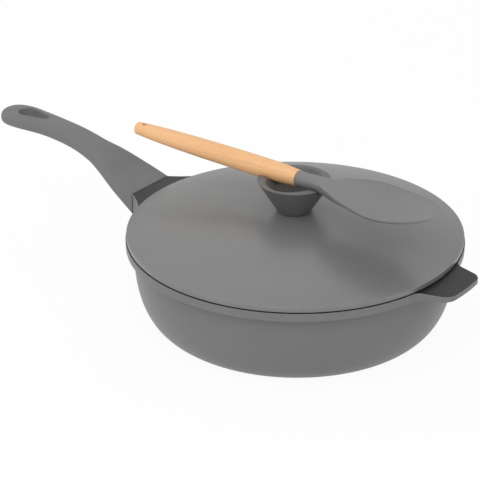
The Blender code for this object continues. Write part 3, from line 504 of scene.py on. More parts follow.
class Pierced:
    """Tube along X, pierced straight down by a slot. A section is a superellipse: at angle a it is half width
    r cos a across and half height r sin a high, with r = (|cos a|^n + |sin a|^n)^(-1/n)."""

    def __init__(self, size_at, ends, edge, before, after, sections):
        self.size_at, self.ends, self.edge = size_at, ends, edge
        self.before, self.after, self.sections = before, after, sections

    def top(self, x, y):
        """Height over the middle at a place of the section: half height (1 - share^n)^(1/n)."""
        half_width, half_height, _, power = self.size_at(x)
        share = np.clip(np.abs(y) / np.maximum(half_width, TINY), 0.0, 1.0)
        return half_height * (1 - share ** power) ** (1 / power)

    def skin(self, sign):
        """Outer skin on one side. A section runs from the slot, or the middle line, round to below."""
        outline, _ = slot_outline(self.ends, self.edge, SLOT_END_POINTS)
        x = np.concatenate([self.before, outline[:, 0], self.after])
        opening = np.concatenate([np.zeros(len(self.before)), outline[:, 1], np.zeros(len(self.after))])
        half_width, half_height, middle, power = self.size_at(x)
        share = np.clip(opening / np.maximum(half_width, TINY), 0.0, 1.0)
        steepest = np.arctan2((1 - share ** power) ** (1 / power), share)
        angle = steepest[:, None] * np.linspace(1.0, -1.0, self.sections)
        power = power[:, None]
        reach = (np.abs(np.cos(angle)) ** power + np.abs(np.sin(angle)) ** power) ** (-1 / power)
        y = sign * half_width[:, None] * reach * np.cos(angle)
        z = middle[:, None] + half_height[:, None] * reach * np.sin(angle)
        return np.stack([np.repeat(x[:, None], self.sections, axis=1), y, z], axis=-1)

    def wall(self):
        """Slot wall: a profile carried round the slot's outline. It is straight, with a quarter round at the
        top and one at the bottom."""
        outline, normal = (mirrored(half) for half in slot_outline(self.ends, 0.0, SLOT_END_POINTS))
        quarter = np.radians(np.linspace(0, 90, num=7))
        steps = [(angle, 1.0) for angle in quarter]
        steps += [(math.pi / 2, share) for share in np.linspace(1.0, -1.0, num=14)[1:-1]]
        steps += [(angle, -1.0) for angle in quarter[::-1]]
        rows = []
        for angle, share in steps:
            flat = outline + normal * self.edge * (1 - math.sin(angle))
            lowered = self.edge * (1 - math.cos(angle))
            height = self.size_at(flat[:, 0])[2] + share * (self.top(flat[:, 0], flat[:, 1]) - lowered)
            rows.append(np.concatenate([flat, height[:, None]], axis=1))
        return np.stack(rows)


def closed_tube(skins, wall, centre, rings):
    """Grids of a pierced tube: its two skins, the slot's wall and a cap over its open end."""
    right, left = skins
    loop = np.concatenate([right[-1], left[-1][::-1][1:-1]])
    return [(right, False), (left, False), (wall, True), (end_cap(loop, centre, rings), True)]


def closing_steps(start, length, count):
    """Places that crowd towards the end of a round tip."""
    return start + length * np.sin(np.linspace(0.0, math.pi / 2, count))


def steps_to_end(start, end, edge, count, edge_count):
    """Places from just beyond start to a flat end, even at first and crowded over its edge."""
    body = np.linspace(start, end - edge, count)[1:]
    turn = np.linspace(0.0, math.pi / 2, edge_count)[1:]
    return np.concatenate([body, end - edge * (1 - np.sin(turn))])


def end_inset(place, edge):
    """How far a piece draws in at a place behind its flat end: a quarter round."""
    into = np.clip(place / edge, 0.0, 1.0)
    return edge * (1 - np.sqrt(1 - (1 - into) ** 2))


def grip_size(x):
    """Half width, half height, middle height and squareness of the grip at a place on it."""
    place = -np.asarray(x) - GRIP_START
    share = np.clip(place / GRIP_BODY, 0.0, 1.0)
    past = np.clip((place - GRIP_BODY) / GRIP_TIP, 0.0, 1.0)
    rounding = (1.0 - past ** GRIP_TIP_POWER) ** (1.0 / GRIP_TIP_POWER)
    inset = end_inset(place, GRIP_END_EDGE)
    top = smooth_curve(GRIP_STATIONS, GRIP_TOPS, share)
    under = smooth_curve(GRIP_STATIONS, GRIP_UNDERSIDES, share)
    half_width = smooth_curve(GRIP_STATIONS, GRIP_HALF_WIDTHS, share) * rounding - inset
    half_height = (top - under) / 2 * rounding ** GRIP_TIP_FLATNESS - inset
    near, far = GRIP_SQUARENESS
    squareness = near + (far - near) * ease(share, 0.0, GRIP_WAIST)
    return half_width, half_height, BRACKET_TOP + (top + under) / 2, squareness


def make_grip():
    """Moulded grip: squarish at the bracket, oval at its waist and round at its tip. The thumb hollow lowers
    its upper skin by depth exp(-(along^2 + across^2))."""
    (wide_place, wide_radius), (narrow_place, narrow_radius) = SLOT_ENDS
    slot_start = -(wide_place + wide_radius + SLOT_EDGE)
    slot_end = -(narrow_place - narrow_radius - SLOT_EDGE)
    far = -closing_steps(GRIP_START + GRIP_BODY, GRIP_TIP, count=60)[::-1]
    far = far[far < slot_start - LEAST_STEP]
    near = steps_to_end(slot_end, -GRIP_START, GRIP_END_EDGE, count=90, edge_count=7)
    tube = Pierced(grip_size, SLOT_ENDS, SLOT_EDGE, far, near, sections=97)
    skins = [tube.skin(1.0), tube.skin(-1.0)]
    hollow_place, half_length, half_width, depth = THUMB_HOLLOW
    for points in skins:
        middle = grip_size(points[..., 0])[2]
        along_hollow = (points[..., 0] + hollow_place) / half_length
        across_hollow = points[..., 1] / half_width
        pressed = depth * np.exp(-(along_hollow ** 2 + across_hollow ** 2))
        points[..., 2] -= np.where(points[..., 2] > middle, pressed, 0.0)
    centre = np.array([-GRIP_START, 0.0, grip_size(np.array([-GRIP_START]))[2][0]])
    return make_piece("grip_shell", closed_tube(skins, tube.wall(), centre, rings=6), "pan",
                      replaces=["handle_grip"])


def wood_size(x):
    """Half width, half height, middle height and squareness of the wood at a place on the spoon's axis."""
    back = SPOON_JOINT - np.asarray(x)
    radius = smooth_curve(WOOD_STATIONS, WOOD_RADII, np.clip(back / WOOD_SHAFT, 0.0, 1.0))
    past = np.clip((back - WOOD_SHAFT) / WOOD_NOSE, 0.0, 1.0)
    blunt = (1 - past ** WOOD_NOSE_POWER) ** (1 / WOOD_NOSE_POWER)
    radius = radius * blunt - end_inset(back, WOOD_END_EDGE)
    return radius, radius, np.zeros_like(radius), np.full_like(radius, 2.0)


def spoon_frame():
    """Place and tilt of the spoon's axis."""
    return Matrix.Translation((0.0, 0.0, SPOON_AXIS_HEIGHT)) @ Matrix.Rotation(SPOON_TILT, 4, "Y")


def make_wood():
    """Turned beech handle with a blunt end, a hanging hole and a rounded edge where the head begins."""
    place, radius = HANG_HOLE
    hole_start, hole_end = -(place + radius + HANG_HOLE_EDGE), -(place - radius - HANG_HOLE_EDGE)
    nose = SPOON_JOINT - closing_steps(WOOD_SHAFT, WOOD_NOSE, count=24)[::-1]
    far = np.concatenate([nose, np.linspace(SPOON_JOINT - WOOD_SHAFT, hole_start, num=8)[1:-1]])
    near = steps_to_end(hole_end, SPOON_JOINT, WOOD_END_EDGE, count=110, edge_count=6)
    tube = Pierced(wood_size, (HANG_HOLE, HANG_HOLE), HANG_HOLE_EDGE, far, near, sections=65)
    skins = [tube.skin(1.0), tube.skin(-1.0)]
    grids = closed_tube(skins, tube.wall(), np.array([SPOON_JOINT, 0.0, 0.0]), rings=5)
    return make_piece("spoon_wood", grids, "spoon", replaces=["spoon_handle"], place=spoon_frame())


def make_head():
    """Silicone head: a round neck that opens into a shallow dish. Round a section by the angle a, y is half
    width cos a. Above, z is rim + crown sin a. Below, it is rim - bevel - keel |sin a|^n, where n grows
    from 1 as the dish opens. Between them is a half round rim, which grows with it and fades at the tip."""
    neck_end = closing_steps(0.0, HEAD_END_EDGE, count=6)
    body = np.linspace(HEAD_END_EDGE, HEAD_BODY, num=120)[1:]
    tip = closing_steps(HEAD_BODY, HEAD_TIP, count=70)[1:]
    place = np.concatenate([neck_end, body, tip])[:, None]
    past = np.clip((place - HEAD_BODY) / HEAD_TIP, 0.0, 1.0)
    rounding = np.sqrt(1.0 - past ** 2)
    share = np.clip(place / HEAD_BODY, 0.0, 1.0)
    inset = end_inset(place, HEAD_END_EDGE)
    half_width = smooth_curve(HEAD_STATIONS, HEAD_HALF_WIDTHS, share) * rounding - inset
    crown = smooth_curve(HEAD_STATIONS, HEAD_CROWNS, share) * rounding - inset
    stations = HEAD_STATIONS + (1.0 + HEAD_TIP / HEAD_BODY,)
    rim = smooth_curve(stations, HEAD_RIM_HEIGHTS, place / HEAD_BODY)
    keel = smooth_curve(stations, HEAD_KEELS, place / HEAD_BODY) * rounding - inset
    opened = ease(share, *HEAD_OPENING)
    shown = opened * ease(rounding, 0.0, HEAD_TIP_FADE)
    angle = np.linspace(0.0, 2 * math.pi, HEAD_STEPS, endpoint=False)[None, :]
    sine, cosine = np.sin(angle), np.cos(angle)
    lift = np.clip(np.abs(sine) / HEAD_EDGE_SINE, 0.0, 1.0)
    edge = HEAD_EDGE / 2 * np.sqrt(1 - (1 - lift) ** 2) * np.sign(sine)
    bevel = HEAD_BEVEL * np.clip((1 - np.abs(cosine)) / HEAD_BEVEL_WIDTH, 0.0, 1.0)
    under = -bevel * shown - keel * np.abs(sine) ** (1 + KEEL_SHARPENING * opened)
    z = rim + edge * shown + np.where(sine > 0, crown * sine, under)
    x = np.broadcast_to(HEAD_START + place, z.shape)
    points = np.stack([x, half_width * cosine, z], axis=-1)
    cap = end_cap(points[0], np.array([HEAD_START, 0.0, 0.0]), rings=5)
    return make_piece("spoon_silicone", [(np.concatenate([cap[:-1], points]), True)], "spoon",
                      replaces=["spoon_head"], place=spoon_frame())


# Lid and knob

def dome_height(radius):
    """Height of the lid's outer face at a radius, steepening towards the edge."""
    return LID_TOP - LID_RISE * (radius / LID_RADIUS) ** DOME_POWER


def make_lid():
    """Domed lid turned from one closed profile: dome, rounded edge, flange, locating ring and hollow
    underside. The dark coat starts where the rounding of the lid's lower edge ends."""
    ring_outer, ring_inner, ring_depth = LOCATING_RING
    radius = np.linspace(0.0, LID_RADIUS - LID_EDGES[0], num=70)
    dome = np.stack([radius, dome_height(radius)], axis=-1)
    inner_radius = np.linspace(ring_inner, 0.0, num=50)
    inside = np.stack([inner_radius, dome_height(inner_radius) - LID_WALL], axis=-1)
    rim = rounded(
        [dome[-2], (LID_RADIUS, dome_height(LID_RADIUS)), (LID_RADIUS, LID_SEAT), (ring_outer, LID_SEAT),
         (ring_outer, LID_SEAT - ring_depth), (ring_inner, LID_SEAT - ring_depth), inside[0], inside[1]],
        LID_EDGES, ARC_POINTS)
    profile = np.concatenate([dome[:-2], rim, inside[2:]])
    coat_start = len(dome[:-2]) + 2 * ARC_POINTS
    dark = np.where(np.arange(len(profile)) < coat_start, 0.0, 1.0)
    # The lid's top edge is lighter: wear and a painted highlight line along it
    wear_and_highlight = wear_and_highlight_near(profile, (LID_RADIUS, dome_height(LID_RADIUS)), TOP_WEAR_AND_HIGHLIGHT_WIDTH)
    return make_turned("lid_dome", profile, dark, wear_and_highlight, "lid", "lid_shell")


def make_knob():
    """Funnel knob. Each meridian climbs the cone, crosses the top and drops into the cup, whose sections are
    ellipses: radius = a b / sqrt((b cos)^2 + (a sin)^2). Where the round notch along X lies lower than the
    top, the cone, top and cup all stop at the notch."""
    angle = np.linspace(0.0, 2 * math.pi, KNOB_STEPS, endpoint=False)
    sine = np.abs(np.sin(angle))
    quarter = np.radians(np.linspace(0, 90, num=6))
    rows = []

    def add(radius, height):
        height = np.broadcast_to(height, angle.shape)
        rows.append(np.stack([radius * np.cos(angle), radius * np.sin(angle), height], axis=-1))

    def notched(radius):
        """Height of the ring's top or of the notch's floor, whichever is lower, blended over a small edge."""
        widest, clear = NOTCH_RADIUS * 0.999, KNOB_TOP + 0.01       # the notch cuts nothing beyond its width
        across = radius * sine
        floor = NOTCH_BOTTOM + NOTCH_RADIUS - np.sqrt(NOTCH_RADIUS ** 2 - np.clip(across, 0.0, widest) ** 2)
        floor = np.where(across < widest, floor, clear)
        gap = np.clip(0.5 + (KNOB_TOP - floor) / (2 * NOTCH_EDGE), 0.0, 1.0)
        return KNOB_TOP * (1 - gap) + floor * gap - NOTCH_EDGE * gap * (1 - gap)

    def outer_radius(height):
        share = (height - KNOB_FOOT) / (KNOB_TOP - KNOB_FOOT)
        return KNOB_FOOT_RADIUS + (KNOB_TOP_RADIUS - KNOB_FOOT_RADIUS) * share

    def inner_radius(height):
        share = (height - CUP_FLOOR) / (KNOB_TOP - CUP_FLOOR)
        length = CUP_FLOOR_RADIUS + (CUP_HALF_LENGTH - CUP_FLOOR_RADIUS) * share
        width = CUP_FLOOR_RADIUS + (CUP_HALF_WIDTH - CUP_FLOOR_RADIUS) * share
        return length * width / np.hypot(width * np.cos(angle), length * np.sin(angle))

    # Where cone and cup meet the ring's top or the notch, found by trying again from the last height
    outer_top, inner_top = np.full(KNOB_STEPS, KNOB_TOP), np.full(KNOB_STEPS, KNOB_TOP)
    for _ in range(TOP_TRIES):
        outer_top = notched(outer_radius(outer_top))
        inner_top = notched(inner_radius(inner_top))
    outer_shoulder, inner_shoulder = outer_top - KNOB_EDGE, inner_top - CUP_EDGE
    outer_low, inner_low = outer_radius(outer_shoulder), inner_radius(inner_shoulder)
    edge_width = outer_low - outer_radius(outer_top) + KNOB_EDGE
    ring_start, ring_end = outer_low - edge_width, inner_radius(inner_top) + CUP_EDGE
    foot, cup_floor = KNOB_FOOT + KNOB_FOOT_EDGE, CUP_FLOOR + CUP_FLOOR_EDGE

    # Foot and its edge, cone
    for radius in np.linspace(0.0, KNOB_FOOT_RADIUS - KNOB_FOOT_EDGE, num=5):
        add(radius, KNOB_FOOT)
    for turn in np.radians(np.linspace(0, 90, num=5)[1:]):
        add(KNOB_FOOT_RADIUS - KNOB_FOOT_EDGE * (1 - math.sin(turn)),
            KNOB_FOOT + KNOB_FOOT_EDGE * (1 - math.cos(turn)))
    for t in np.linspace(0.0, 1.0, num=22)[1:]:
        height = foot * (1 - t) + outer_shoulder * t
        add(outer_radius(height), height)
    # Outer edge, ring and inner edge
    for turn in quarter[1:]:
        radius = outer_low - edge_width * (1 - math.cos(turn))
        add(radius, outer_shoulder * (1 - math.sin(turn)) + notched(radius) * math.sin(turn))
    for t in np.linspace(0.0, 1.0, num=12)[1:]:
        radius = ring_start * (1 - t) + ring_end * t
        add(radius, notched(radius))
    for turn in quarter[::-1][1:]:
        radius = inner_low + (ring_end - inner_low) * (1 - math.cos(turn))
        add(radius, inner_shoulder * (1 - math.sin(turn)) + notched(radius) * math.sin(turn))
    # Cup and its floor, which is level from a third of the way in
    for t in np.linspace(0.0, 1.0, num=16)[1:]:
        height = inner_shoulder * (1 - t) + cup_floor * t
        add(inner_radius(height), height)
    for t in np.linspace(0.0, 1.0, num=7)[1:]:
        add(inner_radius(cup_floor) * (1 - t), CUP_FLOOR + CUP_FLOOR_EDGE * (1 - min(1.0, t * 3)) ** 2)
    points = np.stack(rows) + (KNOB_SHIFT, 0.0, 0.0)
    return make_piece("knob_funnel", [(points, True)], "lid", replaces=["lid_knob"])


# Finishes

PAN_COAT = (0.157, 0.40)              # grey and roughness
LID_COAT = (0.170, 0.31)
# The non-stick coat; its grey also paints the crevice shadow on the rim beside the lid
DARK_COAT_AND_SHADOW = (0.004, 0.44)
OUTSIDE_SPECKS = (1.5, 0.12)          # how many times lighter than the coat, and their strength
INSIDE_SPECKS = (5.0, 0.35)
WEAR_AND_HIGHLIGHT_LIGHTER = 1.7                    # how many times lighter an edge is than the coat, from wear and a painted highlight
COAT_BUMP = (0.35, 0.00006)           # strength and depth
PALE_BEECH = (0.91, 0.54, 0.27, 1.0)
TAN_BEECH = (0.83, 0.45, 0.205, 1.0)
BROWN_BEECH = (0.46, 0.20, 0.07, 1.0)
BEECH_BUMP = (0.25, 0.00008)
PLATE_STEEL = (0.52, 0.52, 0.51, 1.0)
ZINC = (0.58, 0.58, 0.57, 1.0)
BRASS = (0.60, 0.45, 0.20, 1.0)


def feed(tree, socket, value):
    """Sets an input to a value, or links another node's output to it."""
    if isinstance(value, bpy.types.NodeSocket):
        tree.links.new(value, socket)
    else:
        socket.default_value = value


def node(tree, kind, settings=None, **wires):
    """Adds a node. A wire feeds the input of that name, with _ for a space, or of the number after an n."""
    made = tree.nodes.new(kind)
    for key, value in (settings or {}).items():
        setattr(made, key, value)
    for key, value in wires.items():
        name = key.replace("_", " ")
        numbered = name[0] == "n" and name[1:].isdigit()
        feed(tree, made.inputs[int(name[1:]) if numbered else name], value)
    return made


def maths(tree, operation, first, second=0.0, third=0.0):
    """Adds a Math node and returns its value."""
    return node(tree, "ShaderNodeMath", {"operation": operation}, n0=first, n1=second, n2=third).outputs[0]


def blend(tree, share, first, second):
    """Adds a colour Mix node and returns its colour."""
    return node(tree, "ShaderNodeMix", {"data_type": "RGBA"}, n0=share, n6=first, n7=second).outputs[2]


def tinted(tree, colour, shade):
    """Adds a node that multiplies a colour by a shade, and returns the product."""
    return node(tree, "ShaderNodeVectorMath", {"operation": "SCALE"}, n0=colour, Scale=shade).outputs[0]


def noise(tree, vector, scale, detail, roughness=0.5):
    """Adds a Noise Texture and returns its value."""
    return node(tree, "ShaderNodeTexNoise", {}, Vector=vector, Scale=scale, Detail=detail,
                Roughness=roughness).outputs["Fac"]


def spread(tree, value, old, new):
    """Adds a clamped Map Range node from one range to another and returns its value."""
    return node(tree, "ShaderNodeMapRange", {}, Value=value, From_Min=old[0], From_Max=old[1],
                To_Min=new[0], To_Max=new[1]).outputs[0]


def new_group(name, inputs):
    """Returns an empty node group, as its tree, inputs and outputs. Its inputs are a Vector and the named
    ones, and its outputs are Colour, Roughness and Height."""
    tree = bpy.data.node_groups.new(name, "ShaderNodeTree")
    tree.interface.new_socket("Vector", in_out="INPUT", socket_type="NodeSocketVector")
    for label, value in inputs.items():
        kind = "NodeSocketColor" if isinstance(value, tuple) else "NodeSocketFloat"
        tree.interface.new_socket(label, in_out="INPUT", socket_type=kind).default_value = value
    for label, kind in (("Colour", "NodeSocketColor"), ("Roughness", "NodeSocketFloat"),
                        ("Height", "NodeSocketFloat")):
        tree.interface.new_socket(label, in_out="OUTPUT", socket_type=kind)
    return tree, tree.nodes.new("NodeGroupInput").outputs, tree.nodes.new("NodeGroupOutput").inputs


def close_group(tree, out, colour, roughness, height):
    """Links a group's three outputs and returns its tree."""
    for label, value in (("Colour", colour), ("Roughness", roughness), ("Height", height)):
        tree.links.new(value, out[label])
    return tree


def sprayed_coat():
    """Sprayed and baked coat: soft clouds of tint, orange peel, and mineral specks 0.2 mm wide."""
    tree, given, out = new_group("sprayed_coat", {
        "Base": grey(0.18), "Speck": grey(0.30), "Specks": 0.25, "Matt": 0.5})
    vector = given["Vector"]
    clouds = noise(tree, vector, scale=22.0, detail=3.0)
    peel = noise(tree, vector, scale=950.0, detail=2.0, roughness=0.6)
    grit = noise(tree, vector, scale=4200.0, detail=1.0, roughness=0.7)
    cells = node(tree, "ShaderNodeTexVoronoi", {}, Vector=vector, Scale=1500.0).outputs
    dots = maths(tree, "MULTIPLY", spread(tree, cells["Distance"], (0.10, 0.24), (1.0, 0.0)),
                 spread(tree, cells["Color"], (0.62, 0.70), (0.0, 1.0)))
    dots = maths(tree, "MULTIPLY", dots, given["Specks"])
    base = tinted(tree, given["Base"], spread(tree, clouds, (0.3, 0.7), (0.965, 1.035)))
    colour = blend(tree, dots, base, given["Speck"])
    rough = maths(tree, "ADD", given["Matt"], spread(tree, peel, (0.3, 0.7), (-0.05, 0.05)))
    rough = maths(tree, "ADD", rough, spread(tree, clouds, (0.3, 0.7), (-0.02, 0.03)))
    return close_group(tree, out, colour, rough, maths(tree, "MULTIPLY_ADD", grit, 0.35, peel))


def moulded_skin():
    """Spark-eroded mould texture: even fine pits, with soft flow clouds in the tint."""
    tree, given, out = new_group("moulded_skin", {"Base": grey(0.18), "Matt": 0.6, "Grain": 1700.0})
    vector = given["Vector"]
    clouds = noise(tree, vector, scale=35.0, detail=2.0)
    pits = noise(tree, vector, scale=given["Grain"], detail=2.0, roughness=0.65)
    shade = maths(tree, "MULTIPLY", spread(tree, clouds, (0.3, 0.7), (0.97, 1.03)),
                  spread(tree, pits, (0.25, 0.75), (0.97, 1.03)))
    rough = maths(tree, "ADD", given["Matt"], spread(tree, pits, (0.3, 0.7), (-0.06, 0.06)))
    return close_group(tree, out, tinted(tree, given["Base"], shade), rough, pits)


def lathe_rings():
    """Turned metal: fine rings round the Z axis, uneven in depth and gloss."""
    tree, given, out = new_group("lathe_rings", {"Base": grey(0.5), "Matt": 0.35, "Rings": 4000.0})
    parts = node(tree, "ShaderNodeSeparateXYZ", {}, Vector=given["Vector"]).outputs
    squares = [maths(tree, "MULTIPLY", part, part) for part in (parts[0], parts[1])]
    radius = maths(tree, "SQRT", maths(tree, "ADD", *squares))
    place = node(tree, "ShaderNodeCombineXYZ", {}, X=radius, Y=parts[2]).outputs[0]
    rings = noise(tree, place, scale=given["Rings"], detail=3.0, roughness=0.6)
    bands = noise(tree, place, scale=maths(tree, "MULTIPLY", given["Rings"], 0.08), detail=2.0)
    shade = spread(tree, maths(tree, "ADD", rings, bands), (0.7, 1.3), (0.88, 1.10))
    rough = maths(tree, "ADD", given["Matt"], spread(tree, rings, (0.3, 0.7), (-0.08, 0.08)))
    return close_group(tree, out, tinted(tree, given["Base"], shade), rough, rings)


def new_material(name, specular=0.5, metallic=0.0):
    """Returns a material, its tree, its Principled shader and the Object coordinates."""
    material = bpy.data.materials.new(name)
    material.use_nodes = True
    tree = material.node_tree
    shader = tree.nodes["Principled BSDF"]
    shader.inputs["Specular IOR Level"].default_value = specular
    shader.inputs["Metallic"].default_value = metallic
    return material, tree, shader, node(tree, "ShaderNodeTexCoord").outputs["Object"]


def wire(tree, shader, colour, roughness, height, bump):
    """Feeds a colour, a roughness and a bump into the shader. The bump is given as its strength and depth."""
    tree.links.new(colour, shader.inputs["Base Color"])
    tree.links.new(roughness, shader.inputs["Roughness"])
    made = node(tree, "ShaderNodeBump", {}, Strength=bump[0], Distance=bump[1], Height=height)
    tree.links.new(made.outputs[0], shader.inputs["Normal"])


def use(tree, group, vector, **values):
    """Places a node group and returns its outputs."""
    made = node(tree, "ShaderNodeGroup", {"node_tree": group}, Vector=vector)
    for key, value in values.items():
        made.inputs[key].default_value = value
    return made.outputs


def grey(value):
    """A neutral grey."""
    return (value, value, value, 1.0)


def coat_material(name, group, coat, specular):
    """Two sprayed coats: the dark one where its mask says so, with a frayed limit; beside the lid's edge that
    dark is painted shadow of the crevice there. Both are lighter along the edges, from wear and, along the
    top edges of the lid and the rim, a painted highlight."""
    material, tree, shader, place = new_material(name, specular)
    coats = []
    for (shade, matt), (lighter, strength) in ((coat, OUTSIDE_SPECKS), (DARK_COAT_AND_SHADOW, INSIDE_SPECKS)):
        coats.append(use(tree, group, place, Base=grey(shade), Speck=grey(shade * lighter), Specks=strength,
                         Matt=matt))
    outside, inside = coats
    # Dark coat mask; on the rim's top edge beside the lid it is painted shadow of the crevice
    mask = node(tree, "ShaderNodeAttribute", {"attribute_name": "dark_coat_and_shadow"}).outputs["Fac"]
    fraying = spread(tree, noise(tree, place, scale=700.0, detail=2.0), (0.3, 0.7), (-0.12, 0.12))
    mask = spread(tree, maths(tree, "ADD", mask, fraying), (0.42, 0.58), (0.0, 1.0))
    # Mask of the lighter edges: wear, with a painted highlight along the top edges of the lid and the rim
    wear_and_highlight = node(tree, "ShaderNodeAttribute", {"attribute_name": "edge"}).outputs["Fac"]
    patchy = spread(tree, noise(tree, place, scale=260.0, detail=3.0), (0.35, 0.65), (0.06, 0.25))
    colour = blend(tree, mask, outside["Colour"], inside["Colour"])
    colour = blend(tree, maths(tree, "MULTIPLY", wear_and_highlight, patchy), colour, grey(coat[0] * WEAR_AND_HIGHLIGHT_LIGHTER))
    roughness = node(tree, "ShaderNodeMix", {"data_type": "FLOAT"}, n0=mask, n2=outside["Roughness"],
                     n3=inside["Roughness"]).outputs[0]
    wire(tree, shader, colour, roughness, outside["Height"], COAT_BUMP)
    return material


def plain_material(name, group, bump, specular=0.5, metallic=0.0, **values):
    """A finish that one group gives all over."""
    material, tree, shader, place = new_material(name, specular, metallic)
    made = use(tree, group, place, **values)
    wire(tree, shader, made["Colour"], made["Roughness"], made["Height"], bump)
    return material


def beech_material():
    """Sanded and oiled beech: long fibres that drift along X, broad tan rings and short darker flecks."""
    material, tree, shader, place = new_material("oiled_beech")
    laid = node(tree, "ShaderNodeMapping", {}, Vector=place, Rotation=(0.0, SPOON_TILT, 0.0)).outputs[0]
    parts = node(tree, "ShaderNodeSeparateXYZ", {}, Vector=laid).outputs
    drift = maths(tree, "MULTIPLY", noise(tree, laid, scale=18.0, detail=2.0), 0.006)
    across = maths(tree, "ADD", parts[1], drift)

    def stretched(share):
        """Coordinates in which a pattern is drawn out along the wood."""
        length = maths(tree, "MULTIPLY", parts[0], share)
        return node(tree, "ShaderNodeCombineXYZ", {}, X=length, Y=across, Z=parts[2]).outputs[0]

    fibre_place = stretched(0.035)
    fibres = noise(tree, fibre_place, scale=1500.0, detail=4.0, roughness=0.6)
    rings = noise(tree, fibre_place, scale=260.0, detail=2.0)
    dashes = noise(tree, stretched(0.16), scale=2300.0, detail=1.0)
    flecks = spread(tree, dashes, (0.66, 0.74), (0.0, 1.0))
    colour = blend(tree, spread(tree, rings, (0.32, 0.68), (0.0, 0.75)), PALE_BEECH, TAN_BEECH)
    colour = blend(tree, spread(tree, fibres, (0.35, 0.75), (0.0, 0.18)), colour, BROWN_BEECH)
    colour = blend(tree, maths(tree, "MULTIPLY", flecks, 0.30), colour, BROWN_BEECH)
    roughness = spread(tree, fibres, (0.3, 0.7), (0.50, 0.66))
    wire(tree, shader, colour, roughness, maths(tree, "SUBTRACT", fibres, flecks), BEECH_BUMP)
    return material


def give(piece, material):
    """Makes a material the only one of a piece."""
    piece.data.materials.clear()
    piece.data.materials.append(material)


def dress_node(name, material):
    """Gives a carried-over CAD node a finish in each of its slots, or in a new one if it has none."""
    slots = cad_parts[name].material_slots
    if not slots:
        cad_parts[name].data.materials.append(material)
    for slot in slots:
        slot.material = material


# Light, floor and camera

CAMERA_PLACE = (0.724308, -1.034419, 0.684127)
CAMERA_ANGLES = (63.99338, 0.22711, 37.01481)        # degrees up from straight down, roll and turn
LENS = 122.93
SENSOR_WIDTH = 36.0
LIGHT_DISTANCE = 1.8
LIGHTS = (("front_light", 270, 45, 1.2, 6.2),       # azimuth, elevation, size and power
          ("right_light", 315, 45, 1.2, 4.9),
          ("low_left_light", 180, 20, 1.2, 3.6),
          ("back_light", 125, 50, 1.4, 2.3))
FLOOR_HALF_WIDTH = 4.0
FLOOR_GLOW = 0.94             # how much of the floor's look to the camera is plain white
WORLD_LIGHT = 0.72            # strength of the surroundings as a light, against 1 to the camera


def make_camera():
    """Camera at the photograph's place and angle."""
    data = bpy.data.cameras.new("camera")
    data.lens = LENS
    data.sensor_width = SENSOR_WIDTH
    data.clip_start = 0.05
    camera = add_object("camera", data)
    turn = Euler([math.radians(angle) for angle in CAMERA_ANGLES]).to_matrix().to_4x4()
    camera.matrix_world = Matrix.Translation(CAMERA_PLACE) @ turn
    bpy.context.scene.camera = camera


def make_light(name, azimuth, elevation, size, power):
    """Square soft box that faces the middle of the pan, with angles in degrees."""
    turn, rise = math.radians(azimuth), math.radians(elevation)
    towards = Vector((math.cos(rise) * math.cos(turn), math.cos(rise) * math.sin(turn), math.sin(rise)))
    data = bpy.data.lights.new(name, "AREA")
    data.energy = power
    data.size = size
    light = add_object(name, data)
    light.location = towards * LIGHT_DISTANCE
    light.rotation_euler = (-towards).to_track_quat("-Z", "Y").to_euler()


def make_floor():
    """Plain pale floor, whose colour seen by the camera and in reflections is lifted to near white."""
    data = bpy.data.meshes.new("floor")
    half = FLOOR_HALF_WIDTH
    corners = [(-half, -half, 0.0), (half, -half, 0.0), (half, half, 0.0), (-half, half, 0.0)]
    data.from_pydata(corners, [], [(0, 1, 2, 3)])
    floor = add_object("floor", data)
    material = bpy.data.materials.new("pale_floor")
    material.use_nodes = True
    tree = material.node_tree
    tree.nodes.clear()
    paint = node(tree, "ShaderNodeBsdfDiffuse", {}, Color=grey(0.90)).outputs[0]
    glow = node(tree, "ShaderNodeEmission", {}, Color=grey(1.0), Strength=1.0).outputs[0]
    path = node(tree, "ShaderNodeLightPath").outputs
    seen = maths(tree, "MAXIMUM", path["Is Camera Ray"], path["Is Glossy Ray"])
    share = maths(tree, "MULTIPLY", seen, FLOOR_GLOW)
    mixed = node(tree, "ShaderNodeMixShader", {}, n0=share, n1=paint, n2=glow).outputs[0]
    node(tree, "ShaderNodeOutputMaterial", {}, Surface=mixed).is_active_output = True
    data.materials.append(material)


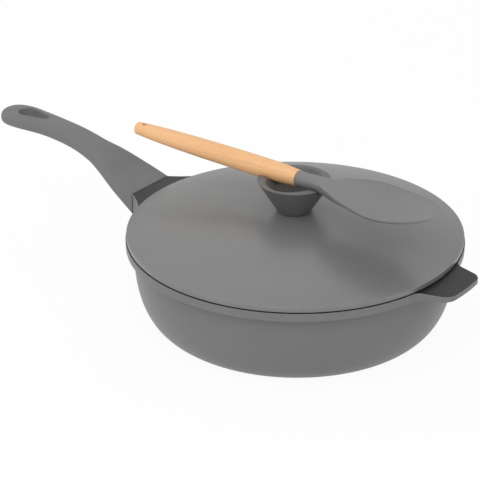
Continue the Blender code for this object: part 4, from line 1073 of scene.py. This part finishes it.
def make_world():
    """White surroundings, full white to the camera and softer as a light."""
    world = bpy.data.worlds.new("studio")
    world.use_nodes = True
    tree = world.node_tree
    background = tree.nodes["Background"]
    background.inputs["Color"].default_value = grey(1.0)
    seen = node(tree, "ShaderNodeLightPath").outputs["Is Camera Ray"]
    strength = maths(tree, "ADD", maths(tree, "MULTIPLY", seen, 1.0 - WORLD_LIGHT), WORLD_LIGHT)
    tree.links.new(strength, background.inputs["Strength"])
    bpy.context.scene.world = world


# Build

bowl, helper, bracket = make_bowl(), make_helper(), make_bracket()
grip, wood, head = make_grip(), make_wood(), make_head()
lid, knob = make_lid(), make_knob()

coat, moulded, lathe = sprayed_coat(), moulded_skin(), lathe_rings()
pan_coat = coat_material("pan_coats", coat, PAN_COAT, specular=0.46)
lid_coat = coat_material("lid_coats", coat, LID_COAT, specular=0.62)
soft_touch = plain_material("soft_touch_grip", moulded, bump=(0.30, 0.00005), specular=0.12,
                            Base=grey(0.187), Matt=0.47, Grain=1500.0)
knob_plastic = plain_material("moulded_knob", moulded, bump=(0.30, 0.00005), specular=0.55,
                              Base=grey(0.116), Matt=0.50, Grain=1900.0)
silicone = plain_material("grey_silicone", moulded, bump=(0.25, 0.00004), specular=0.19,
                          Base=grey(0.210), Matt=0.45, Grain=1200.0)
beech = beech_material()
plate = plain_material("turned_steel_plate", lathe, bump=(0.5, 0.00004), metallic=1.0,
                       Base=PLATE_STEEL, Matt=0.38, Rings=2600.0)
zinc = plain_material("zinc_plated_steel", lathe, bump=(0.4, 0.00003), metallic=1.0,
                      Base=ZINC, Matt=0.32, Rings=6000.0)
brass = plain_material("turned_brass", lathe, bump=(0.4, 0.00003), metallic=1.0,
                       Base=BRASS, Matt=0.32, Rings=6000.0)
nylon = plain_material("core_nylon", moulded, bump=(0.3, 0.00005), Base=grey(0.12), Matt=0.5)

for piece, finish in ((bowl, pan_coat), (helper, pan_coat), (bracket, pan_coat), (lid, lid_coat),
                      (grip, soft_touch), (knob, knob_plastic), (head, silicone), (wood, beech)):
    give(piece, finish)
for name, finish in (("induction_plate", plate), ("knob_insert", brass), ("spoon_core", nylon),
                     ("handle_screw", zinc), ("handle_washer", zinc), ("knob_screw", zinc),
                     ("knob_washer", zinc)):
    dress_node(name, finish)

make_camera()
make_floor()
make_world()
for light in LIGHTS:
    make_light(*light)
bpy.context.scene.view_settings.view_transform = "Standard"
